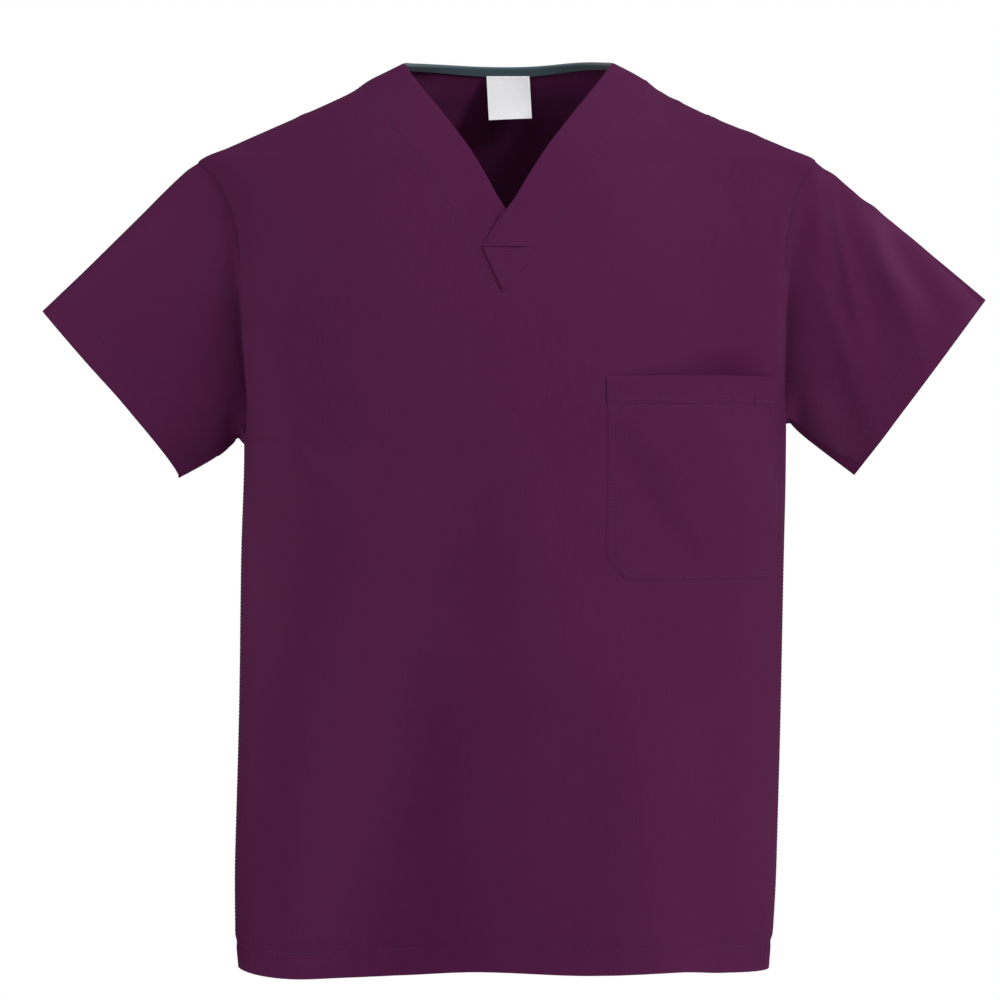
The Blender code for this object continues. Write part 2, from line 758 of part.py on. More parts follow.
main()
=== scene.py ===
import math

import bmesh
import bpy
import numpy as np
from mathutils import Matrix, Vector


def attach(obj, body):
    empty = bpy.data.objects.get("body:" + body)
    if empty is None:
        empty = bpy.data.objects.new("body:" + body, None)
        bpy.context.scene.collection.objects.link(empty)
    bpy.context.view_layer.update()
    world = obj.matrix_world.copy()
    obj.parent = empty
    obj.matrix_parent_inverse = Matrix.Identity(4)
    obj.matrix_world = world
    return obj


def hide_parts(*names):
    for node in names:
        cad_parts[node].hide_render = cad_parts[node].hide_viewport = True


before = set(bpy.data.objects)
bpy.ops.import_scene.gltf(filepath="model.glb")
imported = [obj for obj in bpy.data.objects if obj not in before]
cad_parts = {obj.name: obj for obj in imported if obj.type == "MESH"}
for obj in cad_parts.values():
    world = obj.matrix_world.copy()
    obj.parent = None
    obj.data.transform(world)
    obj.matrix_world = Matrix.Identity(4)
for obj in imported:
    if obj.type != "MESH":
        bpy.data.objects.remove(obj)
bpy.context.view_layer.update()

mm = 0.001
rightSide, leftSide = -1, 1  # the wearer's
sideNames = {rightSide: "right", leftSide: "left"}
quarterTurn = math.pi / 2
print("frame loaded:", len(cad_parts), "nodes")


# the filled-out form that every piece of cloth lies on; millimetres, angle 0 is the
# front's middle, a quarter turn the wearer's left side, a half turn the back's middle

bodyCut = {
    "hem": -742, "hemTurning": 20, "shoulderEnd": -81,
    "armpit": {rightSide: -314, leftSide: -297}, "dropFrom": 236,
    "endDrop": {rightSide: 1.4, leftSide: 0.4},
    "armholeCut": {rightSide: math.radians(16.5), leftSide: math.radians(11)}, "armholeBluntness": 0.22,
    # height, middle, half width, depth in front, depth behind, squareness
    "sections": (
        (14, -1.0, 58, 6, 64, 0.03), (0, -1.0, 86, 19, 71, 0.03),
        (-6.5, -1.2, 99.2, 26, 74, 0.02), (-14, -2.2, 113.2, 33, 77, 0.0),
        (-24, -2.9, 127.3, 41, 81, -0.02), (-31, -3.3, 141.3, 46, 84, -0.03),
        (-44.5, -4.1, 170.6, 56, 88, -0.045), (-57.5, -3.1, 201.2, 64, 92, -0.055),
        (-70, -2.3, 230.3, 71, 95, -0.06), (-81, -2.5, 254.5, 76, 98, -0.065),
        (-96, -2.0, 246, 82, 101, -0.04), (-120, -1.0, 237, 91, 105, -0.01),
        (-160, 0.0, 230, 101, 109, 0.015), (-220, 0.5, 227.5, 111, 112, 0.03),
        (-315, 4.2, 223.3, 118.5, 113, 0.03), (-405, 2.1, 223.7, 121, 112, 0.03),
        (-529, 0.0, 223.3, 120, 113, 0.03), (-652, -3.3, 223.3, 118, 115, 0.03),
        (-714, -4.9, 221.7, 117, 117, 0.03), (-722, -5.3, 220.4, 116.5, 116.5, 0.03),
        (-750, -5.3, 218.5, 115.5, 115.5, 0.03),
    ),
    # degrees round from the front's middle, height of the hem's edge
    "hemLine": (
        (-180, -743), (-150, -746), (-120, -741.5), (-90, -743), (-57, -747), (-46, -748),
        (-33, -746.5), (-19, -743), (-4, -739.5), (15, -741.5), (36, -740.5), (50, -743),
        (80, -744.5), (90, -744), (120, -746), (150, -741), (180, -743),
    ),
}

neckCut = {
    # height, half the V's opening, below 0 where its edges have crossed
    "edge": (
        (16, 99), (0, 86), (-12, 77.8), (-27, 66.4), (-42, 54.6), (-57, 43.4), (-72, 32.4),
        (-94, 18.8), (-118, 5.2), (-135, -7.4), (-156, -18.5),
    ),
    "middle": -1.7, "notch": -192, "notchLean": -4.0, "bandWidth": 37, "lapEnd": -156,
    "backRise": 1.0, "backSwell": {rightSide: 1.5, leftSide: 3.0},
    "stripMiddle": 5.5, "stripEnd": 3.4,
}

# soft folds of the body: rows of height, place across, half width and rise; a rise below 0
# is a trough
creaseLines = {
    "front": (
        ((-742, -186, 26, 4.5), (-601, -177, 26, 4.5), (-520, -169, 24, 4.0), (-440, -154, 22, 3.5),
         (-344, -129, 20, 2.5), (-262, -93, 16, 0)),
        ((-742, -136, 36, -6), (-641, -118, 34, -6), (-537, -98, 32, -6), (-472, -84, 30, -5),
         (-408, -62, 26, -4), (-340, -50, 22, -2), (-280, -40, 20, 0)),
        ((-742, 86, 62, 10), (-640, 80, 60, 9), (-569, 68, 54, 7.5), (-472, 34, 44, 5), (-392, 14, 34, 3),
         (-280, -2, 24, 0)),
        ((-742, -104, 74, -9), (-640, -92, 56, -7), (-560, -80, 40, -4), (-480, -64, 24, 0)),
        ((-742, 168, 26, -3), (-560, 160, 26, -2.5), (-440, 150, 24, 0)),
        ((-300, 152, 34, 0), (-262, 146, 38, -3.5), (-200, 132, 40, 0), (-120, 118, 40, 3),
         (-90, 110, 36, 0)),
        ((-226, 214, 16, 0), (-190, 205, 18, -3), (-150, 190, 16, -2), (-120, 178, 14, 0)),
        ((-262, -198, 16, 0), (-215, -186, 16, -2), (-160, -160, 16, -1.5), (-130, -140, 14, 0)),
        ((-430, 214, 12, 0), (-360, 214, 12, 2.2), (-300, 190, 12, 2.4), (-262, 168, 10, 0)),
        ((-426, 156, 12, 0), (-390, 132, 14, -2), (-340, 104, 13, -2), (-300, 84, 10, 0)),
        ((-360, -120, 10, 0), (-335, -158, 11, 1.2), (-300, -196, 10, 0)),
    ),
    "back": (
        ((-742, 10, 56, -8), (-450, 6, 46, -6), (-190, 0, 34, 0)),
        ((-742, -104, 46, 7), (-480, -98, 40, 5), (-230, -92, 34, 0)),
        ((-742, 112, 42, 6), (-480, 104, 38, 4.5), (-250, 96, 34, 0)),
        ((-742, 62, 20, -2.6), (-560, 60, 14, -2), (-380, 58, 10, 0)),
        ((-742, -56, 20, -2.4), (-560, -50, 14, -2), (-400, -44, 10, 0)),
        ((-742, 172, 18, -3), (-600, 168, 16, -2.4), (-460, 160, 12, 0)),
        ((-742, -176, 18, -3), (-590, -170, 16, -2.2), (-430, -160, 12, 0)),
        ((-200, -152, 20, 0), (-150, -118, 18, -1.8), (-95, -62, 14, 0)),
        ((-195, 150, 20, 0), (-150, 120, 18, -1.8), (-90, 60, 14, 0)),
    ),
}


def onCurve(table, column, at):
    # a smooth curve through the table's rows that never overshoots them
    rows = np.array(sorted(table), dtype=float)
    x, y = rows[:, 0], rows[:, column]
    gap = np.diff(x)
    secant = np.diff(y) / gap
    before = np.concatenate([secant[:1], secant])
    after = np.concatenate([secant, secant[-1:]])
    total = np.where(before * after > 0, before + after, 1.0)
    slope = np.where(before * after > 0, 2 * before * after / total, 0.0)
    at = np.asarray(at, dtype=float)
    k = np.clip(np.searchsorted(x, at) - 1, 0, len(gap) - 1)
    t = (at - x[k]) / gap[k]
    rise = slope[k] * t * (1 - t) ** 2 - slope[k + 1] * t * t * (1 - t)
    return y[k] + (y[k + 1] - y[k]) * t * t * (3 - 2 * t) + gap[k] * rise


def easeIn(t):
    t = np.clip(t, 0.0, 1.0)
    return t * t * (3 - 2 * t)


def shareOut(angle, squareness):
    return (np.sin(angle) + squareness * np.sin(3 * angle)) / (1 - squareness)


def bodyForm(angle, height):
    angle, height = np.broadcast_arrays(np.asarray(angle, float), np.asarray(height, float))
    middle, half, front, back, square = (
        onCurve(bodyCut["sections"], k, height) for k in range(1, 6)
    )
    x = middle + half * shareOut(angle, square)
    deep = (np.cos(angle) - square * np.cos(3 * angle)) / (1 - square)
    y = -deep * np.where(deep > 0, front, back)
    return np.stack([x, y, height], axis=-1)


def angleAt(x, height, back=False):
    # the angle whose point is that far across, on the front or on the back
    x, height = np.broadcast_arrays(np.asarray(x, float), np.asarray(height, float))
    middle = onCurve(bodyCut["sections"], 1, height)
    half = onCurve(bodyCut["sections"], 2, height)
    square = onCurve(bodyCut["sections"], 5, height)
    share = np.clip((x - middle) / half, -1.0, 1.0)
    low, high = np.full(x.shape, -quarterTurn), np.full(x.shape, quarterTurn)
    for _ in range(34):
        angle = (low + high) / 2
        under = shareOut(angle, square) < share
        low, high = np.where(under, angle, low), np.where(under, high, angle)
    return np.where(share < 0, -math.pi, math.pi) - angle if back else angle


def lineRise(rows, x, z):
    there = np.clip(z, *sorted((rows[0][0], rows[-1][0])))
    place, width, rise = (onCurve(rows, k, there) for k in (1, 2, 3))
    return rise * np.exp(-np.minimum(((x - place) / width) ** 2, 50))


def allRises(lines, behind, x, z):
    # what all the folds, or all the lines of painted light and shade, add up to there
    total = np.zeros(x.shape)
    for part, here in (("front", ~behind), ("back", behind)):
        for rows in lines[part]:
            total += np.where(here, lineRise(rows, x, z), 0)
    return total


def foldLift(angle, height):
    point, facing = bodyForm(angle, height), np.cos(angle)
    lift = allRises(creaseLines, facing < 0, point[..., 0], point[..., 2])
    return lift * easeIn(np.abs(facing) / 0.35)  # folds die out towards the side seams


def bySide(values, side):
    return np.where(np.asarray(side) < 0, values[rightSide], values[leftSide])


shoulder = [onCurve(bodyCut["sections"], k, bodyCut["shoulderEnd"]) for k in (1, 2)]  # middle, half width


def endDrop(x):
    # how far the shoulder seam's end is pulled down by the sleeve
    start = bodyCut["dropFrom"]
    near = np.clip((np.abs(x - shoulder[0]) - start) / (shoulder[1] - start), 0, 1)
    return bySide(bodyCut["endDrop"], x) * near * near


def onBody(angle, height, out=0.0):
    # the cloth's outer points there, moved out, and the form's normals
    turn, climb = 0.01, 0.5
    across = bodyForm(angle + turn, height) - bodyForm(angle - turn, height)
    up = bodyForm(angle, height + climb) - bodyForm(angle, height - climb)
    normal = np.cross(across, up)
    normal /= np.linalg.norm(normal, axis=-1)[..., None]
    lift = foldLift(angle, height) + out
    points = bodyForm(angle, height) + normal * lift[..., None]
    points[..., 2] -= endDrop(points[..., 0])
    return points, normal


def armholeAngle(side, height):
    armpit = bySide(bodyCut["armpit"], side)
    share = np.clip((height - armpit) / (bodyCut["shoulderEnd"] - armpit), 0.0, 1.0)
    blunt = np.abs(np.sin(math.pi * share)) ** bodyCut["armholeBluntness"]
    return quarterTurn - bySide(bodyCut["armholeCut"], side) * blunt


def armholePoint(side, height):
    return bodyForm(side * armholeAngle(side, height), height)


def hemHeight(angle):
    return onCurve(bodyCut["hemLine"], 1, np.degrees(angle))


def neckMiddle(height):
    return neckCut["middle"] + neckCut["notchLean"] * (height / neckCut["notch"]) ** 3


def neckEdge(side, height):
    return neckMiddle(height) + side * onCurve(neckCut["edge"], 1, height)


def neckSeam(side, height):
    # the V's edge moved out by the band's width, and straight on to the notch
    heights = np.linspace(neckCut["lapEnd"], neckCut["edge"][0][0], 60)
    halves = onCurve(neckCut["edge"], 1, heights)
    along = np.array([np.gradient(halves), np.gradient(heights)])
    along /= np.linalg.norm(along, axis=0)
    x = np.append(0.0, halves + neckCut["bandWidth"] * along[1])
    z = np.append(neckCut["notch"], heights - neckCut["bandWidth"] * along[0])
    return neckMiddle(height) + side * np.interp(height, z, x)


def findSeamTop():
    low, high = -60.0, 0.0  # it lies somewhere between these
    for _ in range(30):
        height = (low + high) / 2
        half = onCurve(bodyCut["sections"], 2, height)
        wider = half > neckSeam(leftSide, height) - neckMiddle(height)
        low, high = (height, high) if wider else (low, height)
    return height


seamTop = findSeamTop()


def rolledEdge(distance, depth, width):
    # how far a folded edge turns in, at that distance from it
    near = np.clip(1 - distance / width, 0, 1)
    return -depth * (1 - np.sqrt(np.clip(1 - near * near, 0, 1)))


# small helpers that turn a bmesh grid into cloth

def addGrid(bm, columns, rows, place, turned=False):
    # a flat grid whose points move to where place puts them; its uv is metres of cloth,
    # and it is turned over where place runs round the form the other way
    layer = bm.loops.layers.uv.verify()
    made = bmesh.ops.create_grid(bm, x_segments=columns, y_segments=rows, size=0.5)["verts"]
    flat = np.array([vert.co[:2] for vert in made])
    flat = (flat - flat.min(axis=0)) / np.ptp(flat, axis=0)
    spot = np.rint(flat * (columns, rows)).astype(int)
    across, up = np.meshgrid(np.linspace(0, 1, columns + 1), np.linspace(0, 1, rows + 1))
    points = place(across, up)
    stepX = np.linalg.norm(np.diff(points, axis=1), axis=2)
    stepY = np.linalg.norm(np.diff(points, axis=0), axis=2)
    clothX = np.pad(np.cumsum(stepX, axis=1), ((0, 0), (1, 0)))
    clothX -= clothX[:, columns // 2][:, None]
    clothY = np.pad(np.cumsum(stepY, axis=0), ((1, 0), (0, 0)))
    number = {}
    for vert, (column, row) in zip(made, spot):
        vert.co = points[row, column] * mm
        number[vert] = (clothX[row, column] * mm, clothY[row, column] * mm)
    faces = {face for vert in made for face in vert.link_faces}
    for face in faces:
        for loop in face.loops:
            loop[layer].uv = number[loop.vert]
    if turned:
        bmesh.ops.reverse_faces(bm, faces=list(faces))


# painted light and shade on the cloth: darker where creases, the pocket's mouth and the
# underarms would be in shade, lighter where highlights would catch ridges and the sleeves' edges; rows of
# height, place across, half width and how much lighter it is
paintedLightLines = {
    "front": (
        ((-742, -40, 100, -0.07), (-640, -36, 78, -0.07), (-520, -22, 52, -0.06), (-420, -12, 24, -0.05),
         (-290, -10, 12, 0)),
        ((-742, -62, 52, -0.08), (-660, -66, 34, -0.07), (-560, -56, 15, -0.05), (-500, -52, 8, 0)),
        ((-742, -166, 24, 0.05), (-600, -128, 36, 0.05), (-480, -92, 30, 0.03), (-380, -80, 20, 0)),
        ((-742, -212, 22, -0.05), (-560, -190, 22, -0.05), (-420, -146, 22, -0.04), (-320, -112, 14, 0)),
        ((-742, 160, 72, 0.05), (-450, 150, 62, 0.04), (-330, 140, 40, 0.02), (-200, 120, 60, 0.03),
         (-60, 100, 60, 0.08)),
        ((-300, 196, 30, 0), (-240, 192, 26, -0.05), (-190, 188, 22, -0.05), (-140, 180, 18, 0)),
        ((-20, -60, 60, 0.04), (-120, -110, 60, 0.0)),
        ((-742, -202, 30, 0.03), (-560, -200, 30, 0.06), (-400, -198, 30, 0.12), (-190, -200, 36, 0.09),
         (-70, -197, 40, 0.0)),
        ((-430, 168, 22, 0), (-390, 138, 22, -0.05), (-310, 86, 20, -0.04), (-280, 70, 16, 0)),
        ((-380, 222, 18, 0), (-350, 206, 18, 0.06), (-280, 172, 16, 0.06), (-255, 160, 14, 0)),
        ((-266, 184, 5, 0), (-260, 184, 16, 0), (-258, 180, 24, -0.1), (-248, 176, 26, -0.12),
         (-236, 170, 20, 0)),
        ((-300, 222, 6, -0.08), (-264, 223, 6, 0), (-230, 224, 6, 0.1), (-170, 226, 6, 0.12),
         (-120, 234, 7, 0.14), (-92, 242, 7, 0)),
        ((-310, 236, 8, 0), (-190, 238, 8, -0.03), (-140, 247, 7, -0.05), (-110, 252, 7, 0)),
        ((-190, 272, 9, 0), (-160, 268, 9, 0.1), (-119, 262, 9, 0.24), (-96, 258, 9, 0.24),
         (-84, 252, 9, 0.1)),
        ((-220, 346, 10, 0), (-186, 331, 11, 0.2), (-159, 312, 12, 0.3), (-132, 300, 12, 0.34),
         (-115, 290, 10, 0.1)),
        ((-312, 268, 24, 0.26), (-290, 260, 20, 0.2), (-258, 252, 14, 0)),
        ((-312, -227, 11, -0.3), (-275, -226, 10, -0.18), (-240, -225, 8, 0)),
        ((-742, 84, 34, -0.03), (-560, 78, 30, -0.05), (-450, 72, 24, 0)),
        ((-200, 390, 18, 0.24), (-150, 338, 18, 0.2), (-110, 292, 14, 0.1), (-90, 268, 12, 0)),
        ((-205, -376, 24, 0.05), (-140, -296, 22, 0.06), (-90, -236, 18, 0.04), (-70, -210, 16, 0)),
    ),
    "back": (
        ((-742, 10, 80, -0.07), (-420, 6, 60, -0.05), (-180, 0, 40, 0)),
        ((-742, -110, 40, 0.04), (-480, -98, 36, 0.03), (-230, -92, 30, 0)),
        ((-742, 118, 38, 0.04), (-480, 104, 34, 0.03), (-250, 96, 30, 0)),
    ),
}

# the painted light and shade die out beside the side seam, below the sleeves, so front and back meet in one
# tone
seamTone = {"below": -320, "over": 20, "beside": 12}


# painted light and shade at each point: 1 plus how much lighter, dying out beside the side seam below the
# sleeves
def paintedLightOf(mesh):
    spots = np.empty(3 * len(mesh.vertices))
    mesh.vertices.foreach_get("co", spots)
    x, y, z = spots.reshape(-1, 3).T / mm
    below = easeIn((seamTone["below"] - z) / seamTone["over"])
    besideSeam = below * (1 - easeIn(np.abs(y) / seamTone["beside"]))
    return 1 + allRises(paintedLightLines, y > 0, x, z) * (1 - besideSeam)


def meshPiece(bm, name, material):
    mesh = bpy.data.meshes.new(name)
    bm.to_mesh(mesh)
    bm.free()
    mesh.materials.append(material)
    piece = bpy.data.objects.new(name, mesh)
    bpy.context.scene.collection.objects.link(piece)
    return piece


def sewPiece(name, node, grids, material=None, wall=0.6):
    # grids: columns, rows, place, and True where place runs round the form the other way
    bm = bmesh.new()
    for grid in grids:
        addGrid(bm, *grid)
    bmesh.ops.remove_doubles(bm, verts=bm.verts, dist=0.05 * mm)
    piece = meshPiece(bm, name, material or poplin)
    thicken = piece.modifiers.new("cloth wall", "SOLIDIFY")
    thicken.thickness = wall * mm
    thicken.offset = -1
    graph = bpy.context.evaluated_depsgraph_get()
    mesh = bpy.data.meshes.new_from_object(piece.evaluated_get(graph))
    piece.modifiers.clear()
    piece.data = mesh
    mesh.shade_smooth()
    mesh.set_sharp_from_angle(angle=math.radians(42))  # the cut edges stay crisp
    # each point carries painted light and shade as an attribute, which the poplin's colour reads
    mesh.attributes.new("paintedLight", "FLOAT", "POINT").data.foreach_set("value", paintedLightOf(mesh))
    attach(piece, "root")
    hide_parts(node)
    return piece


# materials

def linearColour(hexText):
    parts = [int(hexText[k:k + 2], 16) / 255 for k in (1, 3, 5)]
    return [p / 12.92 if p <= 0.04045 else ((p + 0.055) / 1.055) ** 2.4 for p in parts] + [1.0]


def addNode(tree, kind, links=None, settings=None):
    # links: socket -> another node's output socket, or a value
    node = tree.nodes.new("ShaderNode" + kind)
    for key, value in (settings or {}).items():
        setattr(node, key, value)
    for key, value in (links or {}).items():
        if isinstance(value, bpy.types.NodeSocket):
            tree.links.new(value, node.inputs[key])
        else:
            node.inputs[key].default_value = value
    return node


def startMaterial(name, values):
    material = bpy.data.materials.new(name)
    material.use_nodes = True
    shader = material.node_tree.nodes["Principled BSDF"]
    for socket, value in values.items():
        shader.inputs[socket].default_value = value
    return material, material.node_tree, shader


def waveScale(spacing):
    # a Wave texture repeats every 2 pi / 20 over its scale; spacing is in millimetres
    return 2 * math.pi / 20 / (spacing * mm)


poplinLook = {
    "deep": "#451739", "base": "#4b1c3e", "worn": "#522045",
    "paintedLightGreying": 0.2,  # how much greyer the painted highlights make it, and how much richer the painted shade
    "threadSpacing": 1.2, "threadDepth": 0.05, "threadWander": 1.1,
    "slubScale": (900, 60, 1), "slubShare": 0.62,
    "cloudScale": 9.0, "cloudRange": (0.32, 0.7), "crinkleSize": 26, "crinkleDepth": 0.5,
    "roughness": 0.9, "specular": 0.02, "sheen": 0.04, "sheenRoughness": 0.5, "sheenTint": "#a8648f",
}


def makePoplin():
    # poly-cotton poplin, piece-dyed plum and pressed: a matt close plain weave with a faint
    # bloom at grazing angles. Its threads lie 0.3 mm apart, too fine to show, so they are
    # drawn four times as coarse.
    look = poplinLook
    material, tree, shader = startMaterial("Plum poly-cotton poplin", {
        "Roughness": look["roughness"], "Specular IOR Level": look["specular"],
        "Sheen Weight": look["sheen"], "Sheen Roughness": look["sheenRoughness"],
        "Sheen Tint": linearColour(look["sheenTint"]),
    })
    uv = addNode(tree, "UVMap").outputs[0]
    place = addNode(tree, "TexCoord").outputs["Object"]
    warp, weft = (addNode(tree, "TexWave", {
        "Vector": uv, "Scale": waveScale(look["threadSpacing"]), "Distortion": look["threadWander"],
        "Detail": 2.0,
    }, {"bands_direction": direction}).outputs["Fac"] for direction in "XY")
    weave = addNode(tree, "Math", {0: warp, 1: weft}, {"operation": "MULTIPLY"}).outputs[0]
    stretched = addNode(tree, "Mapping", {"Vector": uv, "Scale": look["slubScale"]})
    slub = addNode(tree, "TexNoise", {"Vector": stretched.outputs[0], "Scale": 1.0, "Detail": 2.0})
    threads = addNode(tree, "Math", {0: slub.outputs["Fac"], 1: look["slubShare"], 2: weave},
                      {"operation": "MULTIPLY_ADD"}).outputs[0]
    cloudy = addNode(tree, "TexNoise", {
        "Vector": place, "Scale": look["cloudScale"], "Detail": 4.0, "Roughness": 0.6,
    })
    tone = addNode(tree, "ValToRGB", {"Fac": cloudy.outputs["Fac"]})
    for stop, position, colour in zip(tone.color_ramp.elements, look["cloudRange"], ("deep", "base")):
        stop.position, stop.color = position, linearColour(look[colour])
    dyed = addNode(tree, "Mix", {
        0: threads, 6: tone.outputs["Color"], 7: linearColour(look["worn"]),
    }, {"data_type": "RGBA"})
    # the attribute read here carries painted light and shade: it brightens the dyed colour where a highlight
    # is painted and darkens it where shade is painted
    paintedLight = addNode(tree, "Attribute", None, {"attribute_name": "paintedLight"}).outputs["Fac"]
    # painted highlights turn greyer and painted shade more saturated
    greyer = addNode(tree, "Math", {0: paintedLight, 1: -look["paintedLightGreying"], 2: 1 + look["paintedLightGreying"]},
                     {"operation": "MULTIPLY_ADD"})
    shadedAndLit = addNode(tree, "HueSaturation", {
        "Color": dyed.outputs[2], "Value": paintedLight, "Saturation": greyer.outputs[0],
    })
    tree.links.new(shadedAndLit.outputs[0], shader.inputs["Base Color"])
    crinkle = addNode(tree, "TexNoise", {
        "Vector": place, "Scale": 1 / (look["crinkleSize"] * mm), "Detail": 3.0, "Roughness": 0.55,
    })
    soft = addNode(tree, "Bump", {
        "Height": crinkle.outputs["Fac"], "Distance": look["crinkleDepth"] * mm, "Strength": 1.0,
    })
    fine = addNode(tree, "Bump", {
        "Height": threads, "Distance": look["threadDepth"] * mm, "Strength": 1.0, "Normal": soft.outputs[0],
    })
    tree.links.new(fine.outputs[0], shader.inputs["Normal"])
    return material


def tintAndRelief(tree, shader, pattern, look):
    # one pattern gives both the colour, from dark to light, and the relief
    tint = addNode(tree, "Mix", {
        0: pattern, 6: linearColour(look["dark"]), 7: linearColour(look["light"]),
    }, {"data_type": "RGBA"})
    relief = addNode(tree, "Bump", {"Height": pattern, "Distance": look["depth"] * mm})
    tree.links.new(tint.outputs[2], shader.inputs["Base Color"])
    tree.links.new(relief.outputs[0], shader.inputs["Normal"])


threadLook = {"dark": "#48203e", "light": "#5a2c4f", "twist": 0.5, "depth": 0.1, "roughness": 0.6}


def makeThread():
    # spun polyester sewing thread, dyed to match: smoother and a little brighter than the cloth
    material, tree, shader = startMaterial("Plum spun polyester thread", {
        "Roughness": threadLook["roughness"],
    })
    place = addNode(tree, "TexCoord").outputs["Object"]
    twist = addNode(tree, "TexNoise", {
        "Vector": place, "Scale": 1 / (threadLook["twist"] * mm), "Detail": 1.0,
    })
    tintAndRelief(tree, shader, twist.outputs["Fac"], threadLook)
    return material


tapeLook = {
    "dark": "#2c4048", "light": "#4a6470", "ribSpacing": 1.4, "wander": 0.6, "slant": 52, "depth": 0.25,
    "roughness": 0.6, "sheen": 0.2,
}


def makeTwill():
    # cotton twill tape, dyed teal: slanting ribs with a slight gloss. The ribs are 0.7 mm
    # apart, drawn twice as coarse.
    look = tapeLook
    material, tree, shader = startMaterial("Teal cotton twill tape", {
        "Roughness": look["roughness"], "Sheen Weight": look["sheen"],
    })
    uv = addNode(tree, "UVMap").outputs[0]
    slant = addNode(tree, "Mapping", {"Vector": uv, "Rotation": (0, 0, math.radians(look["slant"]))})
    rib = addNode(tree, "TexWave", {
        "Vector": slant.outputs[0], "Scale": waveScale(look["ribSpacing"]), "Distortion": look["wander"],
        "Detail": 2.0,
    }, {"bands_direction": "X"})
    tintAndRelief(tree, shader, rib.outputs["Fac"], look)
    return material


satinLook = {
    "dark": "#f4f4f8", "light": "#ffffff", "threadSpacing": 0.9, "wander": 0.8, "depth": 0.08,
    "roughness": 0.38, "sheen": 0.3,
}


def makeSatin():
    # woven polyester satin label, left blank: long floats give a soft gloss across the
    # threads. They are 0.2 mm apart, drawn four times as coarse.
    look = satinLook
    material, tree, shader = startMaterial("White polyester satin", {
        "Roughness": look["roughness"], "Sheen Weight": look["sheen"],
    })
    uv = addNode(tree, "UVMap").outputs[0]
    floats = addNode(tree, "TexWave", {
        "Vector": uv, "Scale": waveScale(look["threadSpacing"]), "Distortion": look["wander"], "Detail": 2.0,
    }, {"bands_direction": "Y"})
    tintAndRelief(tree, shader, floats.outputs["Fac"], look)
    return material


poplin, thread, twill, satin = makePoplin(), makeThread(), makeTwill(), makeSatin()
print("materials made")


# panels

panelGrid = {"halfColumns": 62, "rowStep": 5.4, "upperRows": 44, "neckColumns": 34, "neckPart": 50}
seamLook = {
    "groove": 0.7, "grooveWidth": 0.5, "hemLine": 21, "hemGroove": 0.8, "hemGrooveWidth": 2.6,
    "pucker": 1.0, "puckerHeight": 18, "puckerReach": 17, "hemUnder": 0.75,
    "roll": 1.6, "rollWidth": 7.0, "rollEnds": 50, "welt": 1.0, "weltWidth": 6,
    "clothPerRadian": 122, "clothPerDegree": 3.9,  # beside the armhole, and round the hem
}


def lowerHeights():
    keys = [bodyCut["hem"], bodyCut["hem"] + bodyCut["hemTurning"], bodyCut["armpit"][rightSide],
            bodyCut["armpit"][leftSide], neckCut["notch"]]
    heights = [keys[0]]
    for low, high in zip(keys, keys[1:]):
        steps = max(1, round((high - low) / panelGrid["rowStep"]))
        heights += list(np.linspace(low, high, steps + 1)[1:])
    return np.array(heights)


lowerRows = lowerHeights()


def nearRidge(share):
    return 1 - (1 - share) ** 2  # rows close up where the cloth turns over the shoulder


def armholeRoll(angle, height):
    # the panel's edge rolls in beside the armhole, over the seam allowance
    look, side = seamLook, np.sign(angle)
    turned = np.minimum(np.abs(angle), math.pi - np.abs(angle))
    above = easeIn((height - bySide(bodyCut["armpit"], side)) / look["rollEnds"])
    ends = above * easeIn((bodyCut["shoulderEnd"] - height) / look["rollEnds"])
    inside = np.maximum(armholeAngle(side, height) - turned, 0) * look["clothPerRadian"]
    welt = look["welt"] * np.exp(-((inside - look["rollWidth"]) / look["weltWidth"]) ** 2)
    return ends * (welt + rolledEdge(inside, look["roll"], look["rollWidth"]))


def sewnLift(angle, height):
    # what the needle does: a groove and short puckers along the hem, a dip along the sides
    look = seamLook
    above = height - hemHeight(angle)
    groove = np.exp(-((above - look["hemLine"]) / look["hemGrooveWidth"]) ** 2) * look["hemGroove"]
    run = np.degrees(angle) * look["clothPerDegree"]
    wobble = np.sin(run / 3.1 + 1.7 * np.sin(run / 23)) * (0.55 + 0.45 * np.sin(run / 31 - 1.4))
    near = np.exp(-((above - look["puckerHeight"]) / look["puckerReach"]) ** 2)
    middle, half = (onCurve(bodyCut["sections"], k, height) for k in (1, 2))
    aside = np.abs(np.abs(bodyForm(angle, height)[..., 0] - middle) - half)
    side = np.exp(-(aside / look["grooveWidth"]) ** 2) * look["groove"]
    side = side * easeIn((bodyCut["armpit"][leftSide] - height) / 60)
    return look["pucker"] * wobble * near - groove - side + armholeRoll(angle, height)


def frontLower(across, up):
    height = np.interp(up * (len(lowerRows) - 1), np.arange(len(lowerRows)), lowerRows)
    middle = angleAt(neckMiddle(neckCut["notch"]), neckCut["notch"])
    share = across * 2 - 1
    side = np.where(share < 0, -1, 1)
    angle = middle + np.abs(share) * (side * armholeAngle(side, height) - middle)
    height = np.where(up == 0, hemHeight(angle), height)
    return onBody(angle, height, sewnLift(angle, height))[0]


